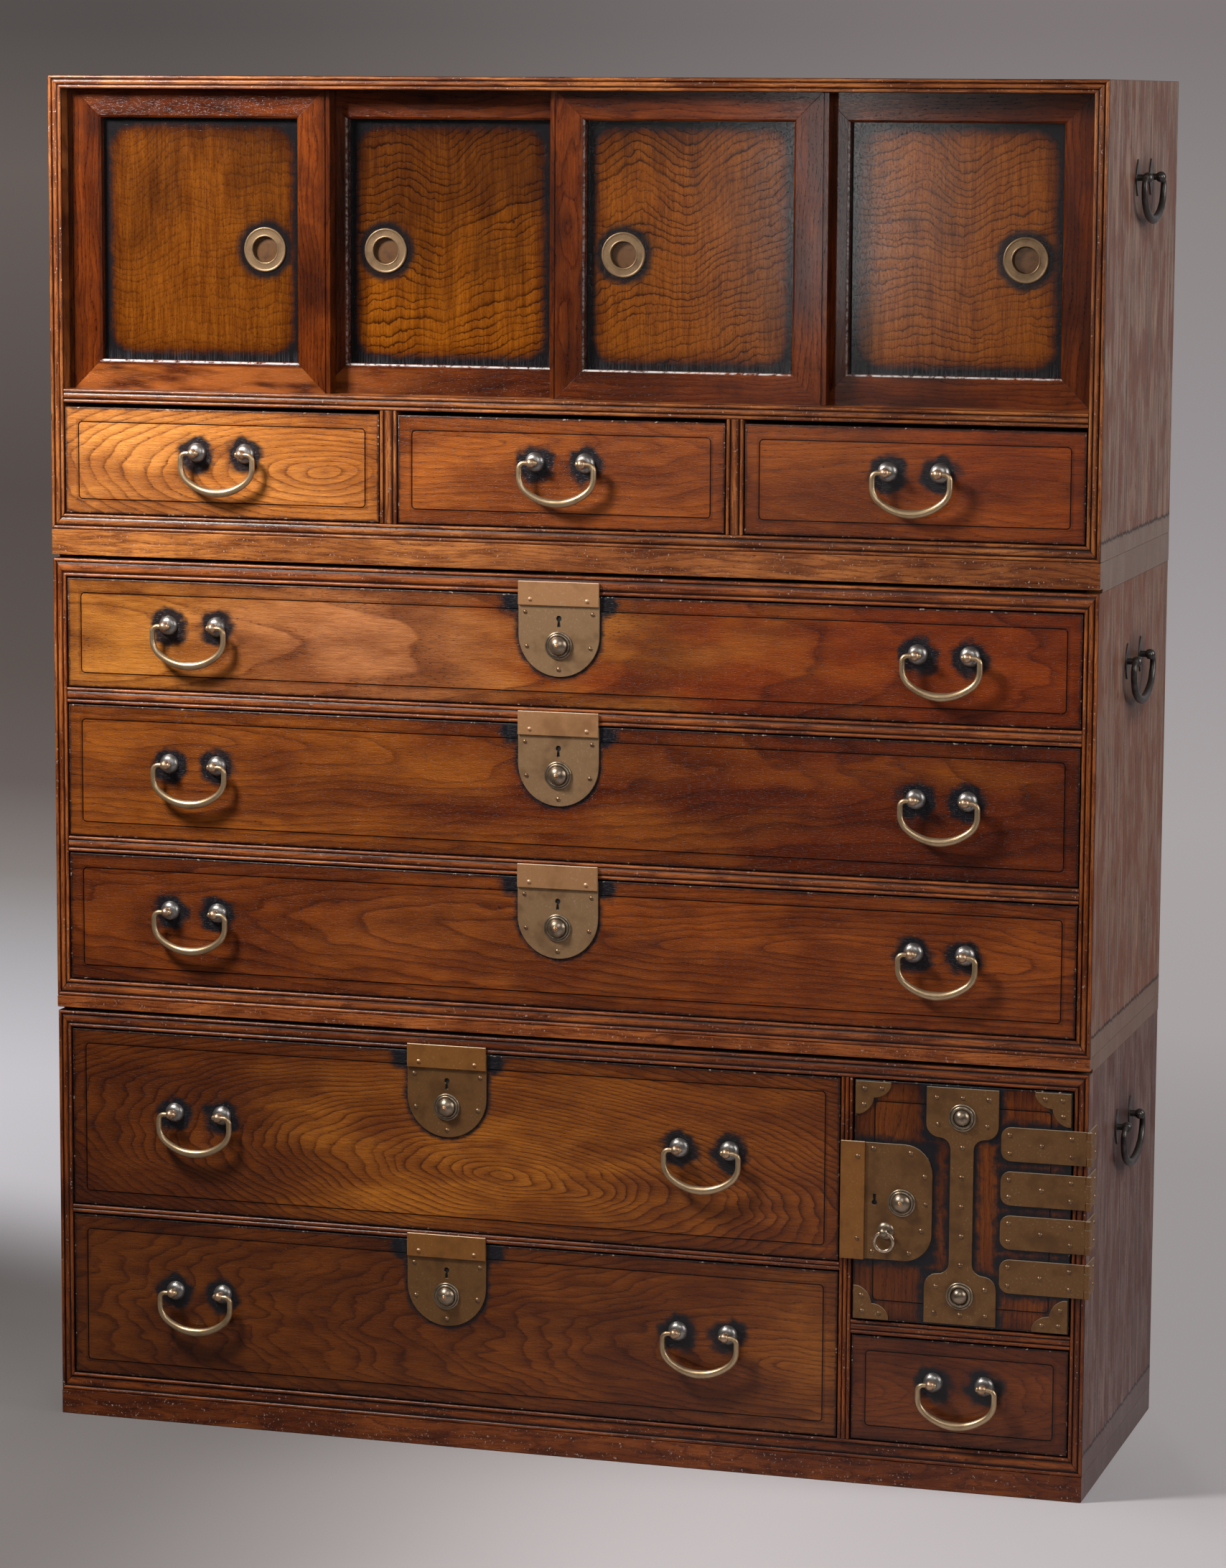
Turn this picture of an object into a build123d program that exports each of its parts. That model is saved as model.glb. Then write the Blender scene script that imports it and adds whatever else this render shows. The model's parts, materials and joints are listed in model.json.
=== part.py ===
from build123d import *
import math
import os

# A Japanese stacking kitchen cabinet: three chests one on another. The upper one has four sliding doors
# over three small drawers, the middle one has three long drawers, and the lower one has two wide drawers
# beside a safe door with a small drawer under it.
# Millimetres. X to the right, Y from front to back, Z up. The origin is the centre of the footprint on the
# floor.

# ---------------------------------------------------------------- driving dimensions
cabinet_width = 1212.0
cabinet_depth = 410.0
section_step = 0.6            # each chest stands back from the one above, at the front and on each side

side_thickness = 16.0         # side boards, seen as the reeded uprights of the front
back_thickness = 8.0
dust_board_thickness = 8.0
rail_depth = 45.0
plinth_thickness = 18.0
bearer_width = 40.0           # runner under the middle of each bottom board

edge_bead = 4.4               # width of each outer bead of the reeding
bead_depth = 1.8              # depth of the grooves between the beads
centre_bead_set_back = 0.3

lower_plinth = 28.5
lower_band = 21.0             # bottom board, seen as a reeded band
lower_openings = (191.0, 209.0)      # wide drawers, from the bottom up
lower_rail = 10.0
lower_top_board = 19.0
middle_plinth = 17.5
middle_band = 20.0
middle_openings = (149.0, 154.0, 127.0)   # long drawers, from the bottom up
middle_rail = 18.0
middle_top_board = 21.0
upper_plinth = 33.0
upper_band = 18.0
upper_drawer_opening = 126.0
upper_sill = 16.0
door_opening_height = 337.0
upper_top_board = 15.0
shadow_gap = 4.0              # under the front plinth board of a chest that stands on another

upper_divider = 20.0
safe_opening_width = 247.0
safe_opening_height = 273.0
corner_drawer_opening = 121.0
lower_divider = 14.0

front_set_back = 1.5          # drawer fronts behind the crests of the reeding
front_thickness = 20.0
drawer_side_gap = 1.2
drawer_bottom_gap = 1.0
drawer_top_gap = 1.5
upper_drawer_top_gap = 4.5    # the small drawers have shrunk and leave a wider gap
drawer_wall = 10.0
drawer_floor = 6.0
drawer_floor_lift = 4.0       # underside of the drawer's bottom above the lower edge of its sides
drawer_wall_drop = 10.0       # sides and back stand this much lower than the front
drawer_rear_gap = 12.0
front_chamfer = 1.2
scratch_inset = 14.5          # thin line cut round each drawer front
scratch_width = 1.3
scratch_depth = 1.0
scratch_radius = 5.0

door_recess = 20.0            # front face of the front pair of sliding doors behind the crests
door_thickness = 18.0
door_gap = 3.0
door_overlap = 26.0
door_member = 39.0            # face width of the door's frame members
door_panel_recess = 11.0
door_panel_thickness = 6.5
door_panel_tongue = 6.0       # the panel runs this far into its frame
door_inner_chamfer = 2.5
door_bead = 4.5               # bead along the outer edge of each door upright
door_bead_groove = 1.2
door_side_gap = 0.5
door_rest_shift = (0.0, 0.0, -5.0, 0.0)   # how far each door stands from its evenly spaced place
track_tongue = 8.0
track_clearance = 0.4
sill_groove = 6.0
top_groove = 8.0
sill_depth = 75.0
pull_radius = 25.0            # finger pulls of the sliding doors
pull_hole_radius = 14.5
pull_flange = 1.6
pull_depth = 5.8
pull_wall = 0.8
pull_inset = 42.0             # from the near edge of the panel
pull_drop = 10.0              # below the middle of the panel

bail_spacing = 58.0           # between the two posts of a drawer bail
bail_half_width = 43.0
bail_drop = 44.0
bail_bend = 6.4
bail_straight = 8.0           # straight part of each side, under the bend
bail_side_radius = 22.0
bail_end_radius = 2.6
bail_shoulder_radius = 3.7
bail_middle_radius = 5.0
bail_tip_radius = 3.1
post_reach = 14.0             # pivot line in front of the drawer front
seat_radius = 11.3
seat_height = 7.0
post_radius = 3.0
eye_radius = 5.4
pivot_clearance = 0.06
bail_rise = 12.0              # pivot line above the middle of the drawer front
long_bail_offset = 436.0      # bail centre from the middle of the long drawers
wide_bail_offset = 302.0      # bail centre from the middle of the wide drawers

side_bail_spacing = 78.0
side_bail_half_width = 57.0
side_bail_drop = 46.0
side_bail_bend = 9.0
side_bail_straight = 0.0
side_bail_side_radius = 30.0
side_bail_end_radius = 2.8
side_bail_shoulder_radius = 4.0
side_bail_middle_radius = 4.8
side_bail_tip_radius = 4.0
side_post_reach = 12.0
side_eye_radius = 6.0
side_post_radius = 3.6
side_seat_width = 20.0
side_seat_height = 40.0
side_seat_thickness = 1.6
upper_side_bail_drop = 105.0  # pivot line below the top of its chest
lower_side_bail_drop = 90.0

plate_thickness = 1.9         # lock plates and straps
cover_thickness = 2.6
lock_width = 94.0
lock_height = 106.0
lock_rivets = ((-39.0, 35.0), (39.0, 35.0), (-37.0, 73.0), (37.0, 73.0), (0.0, 98.0))
cover_rivets = ((-33.0, 20.5), (33.0, 20.5))    # both from the middle and the top of the cover bar
cover_height = 27.0
middle_cover_rise = 15.5      # top of the cover bar above the drawer front
lower_cover_rise = 8.5
keyhole_drop = 41.0           # below the top of the cover bar
keyhole_radius = 2.6
keyhole_slot = 2.2
keyhole_length = 9.0
keyhole_depth = 8.0
button_drop = 71.0
button_radius = 10.3
button_clearance = 0.06
button_hole_clearance = 0.5   # in the wood behind the plate
button_travel = 4.0
button_tail = 9.0             # length of the button inside the wood
button_shoulder = 4.5         # straight part in front of the plate
button_height = 12.0
button_tip_radius = 1.5
ring_washer_radius = 15.7
ring_washer_height = 3.0
rivet_radius = 2.7
rivet_height = 1.6

safe_door_gap = 2.0
safe_door_edge_gap = 1.5
safe_door_thickness = 22.0
strap_clearance = 0.3         # between the straps and the crests of the reeding
safe_scratch_inset = 21.0
corner_plate_width = 40.0
corner_plate_height = 37.0
corner_plate_thickness = 1.6
strap_width = 81.0
strap_margin = 2.5            # from the ends of the strap to the edges of the leaf
strap_shield = 41.0           # straight side of each shield
strap_waist = 26.0
strap_shoulder_radius = 15.0
boss_radius = 9.5
boss_ring_radius = 15.5
boss_inset = 32.5             # boss centre from the end of the strap
waist_rivet_pitch = 33.0
shield_rivets = ((-29.0, 11.5), (29.0, 11.5), (0.0, 10.5), (-27.5, 41.0), (27.5, 41.0))
corner_rivets = ((0.25, 0.22), (0.72, 0.2), (0.22, 0.7))    # as parts of the plate's width and height
safe_lock_right = 91.0        # the lock's right edge, from the left edge of the safe opening
safe_lock_height = 131.0
safe_lock_corner = 32.0
safe_cover_left = -12.5       # the cover bar's left edge, from the left edge of the safe opening
safe_cover_width = 27.5
safe_keyhole_x = 26.0
safe_button_x = 57.0
safe_ring_x = 39.0
safe_ring_drop = 33.0         # ring eye below the middle of the door
safe_lock_top_rivets = ((67.0, 7.0), (25.0, 9.0), (9.0, 35.0))     # from the right and top edges
safe_lock_low_rivets = ((12.0, 35.0), (26.0, 9.0), (67.0, 8.0))    # from the right and lower edges
safe_lock_middle_rivet = 7.0  # from the right edge
safe_cover_rivets = (8.0, 16.0, 23.0)           # from the right, top and lower edges of the bar
ring_radius = 10.5
ring_wire = 2.0
ring_eye_radius = 5.5
ring_bore_radius = 3.3
ring_seat_radius = 9.5
ring_seat_height = 2.9
ring_reach = 8.0
hinge_count = 4
hinge_pitch = 49.3
hinge_height = 37.8
hinge_length = 98.0           # strap from the pin to its rounded end
hinge_rivets = ((9.0, 10.0), (9.0, -10.0), (45.0, 0.0), (78.0, 10.0), (78.0, -10.0))
leaf_rivets = ((14.0, 0.0), (34.0, 10.0), (34.0, -10.0))
hinge_corner = 11.0
hinge_thickness = 2.0
hinge_leaf = 42.0             # leaf on the side board
hinge_leaf_thickness = 1.8
knuckle_radius = 3.0
knuckle_offset = 2.4          # pin from the front plane and from the side plane
knuckle_gap = 0.4
pin_radius = 1.3
pin_clearance = 0.05


# ---------------------------------------------------------------- small helpers
def block(x0, x1, y0, y1, z0, z1):
    """A box between two corners."""
    return Pos((x0 + x1) / 2, (y0 + y1) / 2, (z0 + z1) / 2) * Box(x1 - x0, y1 - y0, z1 - z0)


def front_plane(y):
    """The plane at y that faces the front."""
    return Plane(origin=(0, y, 0), x_dir=(1, 0, 0), z_dir=(0, -1, 0))


def facing(outline, y_front, y_back):
    """A plate that faces the front: an outline in X and Z, carried from y_front to y_back."""
    return extrude(front_plane(y_back) * outline, amount=y_back - y_front)


def polygon(*points):
    """A face from its corners."""
    return make_face(Polyline(*points, close=True))


def reeded_section(width, depth):
    """Cross-section of a reeded member: X across its face, Y into its depth, with beads along the front."""
    if width > 3 * edge_bead:
        stops = (0, edge_bead, width - edge_bead, width)
    else:
        stops = (0, width / 2, width)
    edges = []
    for left, right in zip(stops, stops[1:]):
        crest = 0 if right - left <= 1.5 * edge_bead else centre_bead_set_back
        edges.append(ThreePointArc((left, bead_depth), ((left + right) / 2, crest), (right, bead_depth)))
    edges.append(Line((width, bead_depth), (width, depth)))
    edges.append(Line((width, depth), (0, depth)))
    edges.append(Line((0, depth), (0, bead_depth)))
    return make_face(edges)


def reeded_upright(x0, width, y_front, depth, z0, z1):
    """A board on end with its front edge reeded."""
    return extrude(Pos(x0, y_front, z0) * reeded_section(width, depth), amount=z1 - z0)


def reeded_level(x0, x1, y_front, depth, z0, height):
    """A board lying flat with its front edge reeded."""
    plane = Plane(origin=(x1, y_front, z0), x_dir=(0, 0, 1), z_dir=(-1, 0, 0))
    return extrude(plane * reeded_section(height, depth), amount=x1 - x0)


def dome(radius, height):
    """A low spherical cap standing on the XY plane, along +Z."""
    sphere_radius = (radius ** 2 + height ** 2) / (2 * height)
    cap = Pos(0, 0, height - sphere_radius) * Sphere(sphere_radius)
    return cap & (Pos(0, 0, height) * Box(4 * radius, 4 * radius, 2 * height))


def to_front(x, y, z):
    """Places a piece made along +Z so that it stands out of a front face at (x, y, z)."""
    return Pos(x, y, z) * Rot(90, 0, 0)


def save(name, pieces):
    """Writes one node; every piece stays a separate solid."""
    solids = [solid for piece in pieces for solid in piece.solids()]
    export_step(Compound(solids, label=name), f"parts/{name}.step")


# ---------------------------------------------------------------- the three chests
class Chest:
    """One carcase of the stack and the planes that its pieces take their places from."""

    def __init__(self, name, steps_in, base, plinth, band, clear_height, top_board, gap_under_front):
        self.name = name
        self.half_width = cabinet_width / 2 - steps_in * section_step
        self.inner = self.half_width - side_thickness
        self.front = -cabinet_depth / 2 + steps_in * section_step
        self.back = cabinet_depth / 2
        self.base = base
        self.board_base = base + plinth
        self.floor = self.board_base + band
        self.ceiling = self.floor + clear_height
        self.top = self.ceiling + top_board
        self.gap_under_front = gap_under_front

    def boards(self):
        """The mitred ring of four reeded boards, the back and the plinth."""
        depth = self.back - self.front
        out, inn, low = self.half_width, self.inner, self.board_base
        outline = {
            "left": polygon((-out, low), (-inn, self.floor), (-inn, self.ceiling), (-out, self.top)),
            "right": polygon((out, low), (out, self.top), (inn, self.ceiling), (inn, self.floor)),
            "top": polygon((-out, self.top), (-inn, self.ceiling), (inn, self.ceiling), (out, self.top)),
            "bottom": polygon((-out, low), (out, low), (inn, self.floor), (-inn, self.floor)),
        }
        rough = {
            "left": reeded_upright(-out, side_thickness, self.front, depth, low, self.top),
            "right": reeded_upright(inn, side_thickness, self.front, depth, low, self.top),
            "top": reeded_level(-out, out, self.front, depth, self.ceiling, self.top - self.ceiling),
            "bottom": reeded_level(-out, out, self.front, depth, low, self.floor - low),
        }
        ring = {side: rough[side] & facing(outline[side], self.front, self.back) for side in outline}
        back = block(-inn, inn, self.back - back_thickness, self.back, self.floor, self.ceiling)
        behind = self.front + plinth_thickness
        plinth = [
            block(-out, out, self.front, behind, self.base + self.gap_under_front, self.board_base),
            block(-out, -out + plinth_thickness, behind, self.back, self.base, self.board_base),
            block(out - plinth_thickness, out, behind, self.back, self.base, self.board_base),
            block(-out + plinth_thickness, out - plinth_thickness, self.back - plinth_thickness, self.back,
                  self.base, self.board_base),
            block(-bearer_width / 2, bearer_width / 2, behind, self.back - plinth_thickness,
                  self.base, self.board_base),
        ]
        return ring, back, plinth

    def shelf(self, x0, x1, z0, height, depth=rail_depth):
        """A reeded rail with a dust board level with its top behind it."""
        rail = reeded_level(x0, x1, self.front, depth, z0, height)
        board_base = z0 + max(height - dust_board_thickness, 0)
        board = block(x0, x1, self.front + depth, self.back - back_thickness, board_base, z0 + height)
        return [rail, board]


lower_clear = sum(lower_openings) + lower_rail
middle_clear = sum(middle_openings) + 2 * middle_rail
upper_clear = upper_drawer_opening + upper_sill + door_opening_height

lower = Chest("lower", 2, 0.0, lower_plinth, lower_band, lower_clear, lower_top_board, 0.0)
middle = Chest("middle", 1, lower.top, middle_plinth, middle_band, middle_clear, middle_top_board, shadow_gap)
upper = Chest("upper", 0, middle.top, upper_plinth, upper_band, upper_clear, upper_top_board, shadow_gap)


# ---------------------------------------------------------------- drawer fronts, bails and locks
class Opening:
    """A drawer's place in its chest."""

    def __init__(self, name, chest, x0, x1, z0, height, top_gap, bail_offsets, cover_rise=None):
        self.name = name
        self.chest = chest
        self.x0, self.x1 = x0 + drawer_side_gap, x1 - drawer_side_gap
        self.z0, self.z1 = z0 + drawer_bottom_gap, z0 + height - top_gap
        self.front = chest.front + front_set_back
        self.rear = chest.back - back_thickness - drawer_rear_gap
        self.middle = (x0 + x1) / 2
        self.bail_z = (self.z0 + self.z1) / 2 + bail_rise
        self.bails = [self.middle + offset for offset in bail_offsets]
        self.cover_top = None if cover_rise is None else self.z1 + cover_rise


def upper_openings():
    width = (2 * upper.inner - 2 * upper_divider) / 3
    for index in range(3):
        x0 = -upper.inner + index * (width + upper_divider)
        yield Opening(f"upper_drawer_{index + 1}", upper, x0, x0 + width, upper.floor, upper_drawer_opening,
                      upper_drawer_top_gap, (0.0,))


def long_openings():
    z0 = middle.floor
    for index, height in enumerate(middle_openings):
        name = f"middle_drawer_{len(middle_openings) - index}"
        yield Opening(name, middle, -middle.inner, middle.inner, z0, height, drawer_top_gap,
                      (-long_bail_offset, long_bail_offset), middle_cover_rise)
        z0 += height + middle_rail


safe_left = lower.inner - safe_opening_width
divider_left = safe_left - lower_divider


def wide_openings():
    z0 = lower.floor
    for index, height in enumerate(lower_openings):
        name = f"lower_drawer_{len(lower_openings) - index}"
        yield Opening(name, lower, -lower.inner, divider_left, z0, height, drawer_top_gap,
                      (-wide_bail_offset, wide_bail_offset), lower_cover_rise)
        z0 += height + lower_rail


corner_opening = Opening("corner_drawer", lower, safe_left, lower.inner, lower.floor, corner_drawer_opening,
                         drawer_top_gap, (0.0,))
openings = [*upper_openings(), *long_openings(), *wide_openings(), corner_opening]


button_hole = Cylinder(button_radius + button_hole_clearance, 2 * (button_tail + button_travel + 1))


def scratch_line(x0, x1, z0, z1, y, inset):
    """The thin line cut round a front, as the solid to take away."""
    width, height = x1 - x0 - 2 * inset, z1 - z0 - 2 * inset
    both = 2 * scratch_width
    ring = RectangleRounded(width, height, scratch_radius)
    ring -= RectangleRounded(width - both, height - both, scratch_radius - scratch_width)
    return facing(Pos((x0 + x1) / 2, (z0 + z1) / 2) * ring, y - 1, y + scratch_depth)


def keyhole(x, z, y_front, y_back, slot_down):
    """A keyhole through a plate and into the wood, as the solid to take away."""
    sign = -1 if slot_down else 1
    outline = Pos(x, z) * Circle(keyhole_radius)
    outline += Pos(x, z + sign * keyhole_length / 2) * Rectangle(keyhole_slot, keyhole_length)
    return facing(outline, y_front, y_back)


def chamfered_front(x0, x1, y, z0, z1, thickness):
    """A drawer front or door leaf with its front arrises taken off."""
    board = block(x0, x1, y, y + thickness, z0, z1)
    return chamfer(board.faces().sort_by(Axis.Y)[0].edges(), front_chamfer)


def drawer(opening):
    """The five boards of a drawer."""
    x0, x1, z0, z1 = opening.x0, opening.x1, opening.z0, opening.z1
    front, rear = opening.front, opening.rear
    board_back = front + front_thickness
    face = chamfered_front(x0, x1, front, z0, z1, front_thickness)
    face -= scratch_line(x0, x1, z0, z1, front, scratch_inset)
    if opening.cover_top is not None:
        x, top = opening.middle, opening.cover_top
        face -= to_front(x, front, top - button_drop) * button_hole
        face -= keyhole(x, top - keyhole_drop, front - 1, front + keyhole_depth, True)
    wall_top = z1 - drawer_wall_drop
    floor = z0 + drawer_floor_lift
    inner0, inner1 = x0 + drawer_wall, x1 - drawer_wall
    return [
        face,
        block(x0, inner0, board_back, rear, z0, wall_top),
        block(inner1, x1, board_back, rear, z0, wall_top),
        block(inner0, inner1, rear - drawer_wall, rear, z0, wall_top),
        block(inner0, inner1, board_back, rear - drawer_wall, floor, floor + drawer_floor),
    ]


def bail(spacing, half_width, drop, bend, straight, side_radius, radii, tip_radius, eye):
    """A swinging bail hanging from the pivot line, which is the X axis: thin turned-in ends with small
    balls inside the eyes, shoulders, and a bar that swells towards the middle."""
    end, shoulder, mid = radii
    bent = (end + shoulder) / 2
    low = bend + straight
    run = drop - low
    reach = half_width - side_radius
    bottom_radius = (reach ** 2 + run ** 2 - side_radius ** 2) / (2 * (run - side_radius))
    rise = bottom_radius - run
    join = math.degrees(math.atan2(rise, reach))
    tip_x = -spacing / 2 + eye + tip_radius * 0.8
    shoulder_x = -half_width + bend
    legs = [
        (Line((tip_x, 0), (shoulder_x, 0)), end, end),
        (CenterArc((shoulder_x, -bend), bend, 90, 90), end, bent),
        (CenterArc((-reach, -low), side_radius, 180, join), bent, shoulder),
        (CenterArc((0, rise - low), bottom_radius, 180 + join, 90 - join), shoulder, mid),
    ]
    if straight > 0:
        legs.append((Line((-half_width, -bend), (-half_width, -low)), bent, bent))
    half = Pos(tip_x, 0, 0) * Sphere(tip_radius)
    for path, start_radius, end_radius in legs:
        first = Plane(origin=path @ 0, z_dir=path % 0) * Circle(start_radius)
        last = Plane(origin=path @ 1, z_dir=path % 1) * Circle(end_radius)
        half += sweep(sections=[first, last], path=path, multisection=True)
    return Rot(90, 0, 0) * (half + mirror(half, about=Plane.YZ))


def eye_post(reach, shaft, eye, bore):
    """A post along +Z from the XY plane, ending in a ball with a cross hole along X at the pivot line."""
    post = Pos(0, 0, reach / 2) * Cylinder(shaft, reach) + Pos(0, 0, reach) * Sphere(eye)
    return post - Pos(0, 0, reach) * (Rot(0, 90, 0) * Cylinder(bore, 4 * eye))


drawer_bail = bail(bail_spacing, bail_half_width, bail_drop, bail_bend, bail_straight, bail_side_radius,
                   (bail_end_radius, bail_shoulder_radius, bail_middle_radius), bail_tip_radius, eye_radius)
drawer_post = eye_post(post_reach, post_radius, eye_radius, bail_end_radius + pivot_clearance)
drawer_seat = dome(seat_radius, seat_height) - Cylinder(post_radius, 4 * seat_height)
rivet = dome(rivet_radius, rivet_height)
ring_washer = Cylinder(ring_washer_radius, ring_washer_height, align=(Align.CENTER, Align.CENTER, Align.MIN))
ring_washer = chamfer(ring_washer.edges().sort_by(Axis.Z)[-1], ring_washer_height * 0.6)
ring_washer -= Cylinder(button_radius + button_clearance, 4 * ring_washer_height)


def lock_button():
    """A round button with a domed head and a small tip; its shoulder plane is Z = 0."""
    crown = button_height - button_tip_radius - button_shoulder
    stem = Cylinder(button_radius, button_shoulder + button_tail)
    stem = Pos(0, 0, (button_shoulder - button_tail) / 2) * stem
    head = Pos(0, 0, button_shoulder) * dome(button_radius, crown)
    return stem + head + Pos(0, 0, button_shoulder + crown) * Sphere(button_tip_radius)


button = lock_button()


def posts_for(opening):
    """Seats and eye posts of a drawer's bails."""
    pieces = []
    for centre in opening.bails:
        for x in (centre - bail_spacing / 2, centre + bail_spacing / 2):
            place = to_front(x, opening.front, opening.bail_z)
            pieces += [place * drawer_seat, place * drawer_post]
    return pieces


def lock_for(opening):
    """U-shaped lock plate, cover bar, ring washer and rivets of a drawer lock."""
    x, top = opening.middle, opening.cover_top
    plate_front = opening.front - plate_thickness
    half = lock_width / 2
    plate_top = opening.z1 - front_chamfer
    centre_z = top - lock_height + half
    outline = make_face([
        Line((x - half, centre_z), (x - half, plate_top)),
        Line((x - half, plate_top), (x + half, plate_top)),
        Line((x + half, plate_top), (x + half, centre_z)),
        ThreePointArc((x + half, centre_z), (x, centre_z - half), (x - half, centre_z)),
    ])
    plate = facing(outline, plate_front, opening.front)
    plate -= keyhole(x, top - keyhole_drop, plate_front - 1, opening.front + 1, True)
    hole = Cylinder(button_radius + button_clearance, 4 * plate_thickness)
    plate -= to_front(x, opening.front, top - button_drop) * hole
    cover = block(x - half, x + half, plate_front - cover_thickness, plate_front, top - cover_height, top)
    cover = chamfer(cover.faces().sort_by(Axis.Y)[0].edges(), 0.6)
    washer = to_front(x, plate_front, top - button_drop) * ring_washer
    rivets = [to_front(x + right, plate_front, top - down) * rivet for right, down in lock_rivets]
    cover_front = plate_front - cover_thickness
    rivets += [to_front(x + right, cover_front, top - down) * rivet for right, down in cover_rivets]
    return [plate, cover, washer, *rivets]


# ---------------------------------------------------------------- sliding doors
door_count = 4
door_width = (2 * upper.inner + (door_count - 1) * door_overlap) / door_count
sill_top = upper.floor + upper_drawer_opening + upper_sill
door_base = sill_top - sill_groove + 0.5
door_top = upper.ceiling + top_groove - 1.0
tracks = (upper.front + door_recess, upper.front + door_recess + door_thickness + door_gap)


def door_left(index):
    """Left edge of a sliding door at rest."""
    return -upper.inner + index * (door_width - door_overlap) + door_rest_shift[index]


def door_span(index):
    """Both edges of a sliding door, clear of the side boards."""
    left = door_left(index)
    x0 = left + (door_side_gap if index == 0 else 0)
    x1 = left + door_width - (door_side_gap if index == door_count - 1 else 0)
    return x0, x1


def pull_place(index):
    """Centre of a finger pull: near the right of doors 1 and 4, near the left of doors 2 and 3."""
    x0, x1 = door_span(index)
    on_right = index in (0, door_count - 1)
    x = x1 - door_member - pull_inset if on_right else x0 + door_member + pull_inset
    z = (door_base + door_top) / 2 - pull_drop
    return x, tracks[index % 2] + door_panel_recess, z


def sliding_door(index):
    """Four mitred frame members and the recessed panel."""
    x0, x1 = door_span(index)
    z0, z1 = door_base, door_top
    y0 = tracks[index % 2]
    y1 = y0 + door_thickness
    m = door_member
    outlines = (
        polygon((x0, z0), (x0 + m, z0 + m), (x0 + m, z1 - m), (x0, z1)),
        polygon((x1, z0), (x1, z1), (x1 - m, z1 - m), (x1 - m, z0 + m)),
        polygon((x0, z1), (x0 + m, z1 - m), (x1 - m, z1 - m), (x1, z1)),
        polygon((x0, z0), (x1, z0), (x1 - m, z0 + m), (x0 + m, z0 + m)),
    )
    inner = Pos((x0 + x1) / 2, (z0 + z1) / 2) * Rectangle(x1 - x0 - 2 * m, z1 - z0 - 2 * m)
    wider = offset(inner, door_inner_chamfer, kind=Kind.INTERSECTION)
    splay = loft([front_plane(y0) * wider, front_plane(y0 + door_inner_chamfer) * inner])
    panel_y = y0 + door_panel_recess
    t = door_panel_tongue
    panel_room = block(x0 + m - t, x1 - m + t, panel_y, panel_y + door_panel_thickness,
                       z0 + m - t, z1 - m + t)
    lip = track_tongue
    cuts = [
        splay,
        panel_room,
        block(x0, x1, y0 + lip, y1, z0, sill_top + 1),
        block(x0, x1, y0 + lip, y1, upper.ceiling - 1, z1),
    ]
    for bead_x in (x0 + door_bead, x1 - door_bead - door_bead_groove):
        cuts.append(block(bead_x, bead_x + door_bead_groove, y0 - 1, y0 + door_bead_groove, z0, z1))
    members = []
    for outline in outlines:
        member = facing(outline, y0, y1)
        for cut in cuts:
            member -= cut
        members.append(member)
    panel = panel_room
    x, y, z = pull_place(index)
    panel -= to_front(x, y, z) * Cylinder(pull_hole_radius + pull_wall, 4 * door_panel_thickness)
    return [*members, panel]


def finger_pull(index):
    """A turned brass cup with a flat flange, let into a door panel."""
    outer, hole, wall = pull_radius, pull_hole_radius, pull_wall
    profile = [
        Line((hole + wall, 0), (outer, 0)),
        Line((outer, 0), (outer, pull_flange * 0.5)),
        ThreePointArc((outer, pull_flange * 0.5), (outer - 0.6, pull_flange * 0.95),
                      (outer - 2, pull_flange)),
        Line((outer - 2, pull_flange), (hole + 1, pull_flange * 0.8)),
        Line((hole + 1, pull_flange * 0.8), (hole, pull_flange * 0.4)),
        Line((hole, pull_flange * 0.4), (hole, wall - pull_depth)),
        Line((hole, wall - pull_depth), (0, wall - pull_depth)),
        Line((0, wall - pull_depth), (0, -pull_depth)),
        Line((0, -pull_depth), (hole + wall, -pull_depth)),
        Line((hole + wall, -pull_depth), (hole + wall, 0)),
    ]
    return [to_front(*pull_place(index)) * revolve(Plane.XZ * make_face(profile), Axis.Z)]


# ---------------------------------------------------------------- safe door
safe_base = lower.ceiling - safe_opening_height
safe_x0 = safe_left + safe_door_gap
safe_x1 = lower.inner - safe_door_edge_gap
safe_z0 = safe_base + safe_door_edge_gap
safe_z1 = lower.ceiling - safe_door_edge_gap
safe_front = lower.front - strap_clearance
safe_middle_x = (safe_x0 + safe_x1) / 2
safe_middle_z = (safe_z0 + safe_z1) / 2
pin_x = lower.half_width + knuckle_offset
pin_y = lower.front - knuckle_offset
plate_face = safe_front - plate_thickness
button_place = (safe_left + safe_button_x, safe_middle_z)
ring_place = (safe_left + safe_ring_x, safe_middle_z - safe_ring_drop)
keyhole_place = (safe_left + safe_keyhole_x, safe_middle_z - 1.5)
hinge_levels = [safe_middle_z + (index - (hinge_count - 1) / 2) * hinge_pitch for index in range(hinge_count)]


def safe_leaf():
    """The wooden leaf of the safe door."""
    leaf = chamfered_front(safe_x0, safe_x1, safe_front, safe_z0, safe_z1, safe_door_thickness)
    leaf -= scratch_line(safe_x0, safe_x1, safe_z0, safe_z1, safe_front, safe_scratch_inset)
    leaf -= to_front(button_place[0], safe_front, button_place[1]) * button_hole
    leaf -= keyhole(*keyhole_place, safe_front - 1, safe_front + keyhole_depth, False)
    return [leaf]


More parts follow.
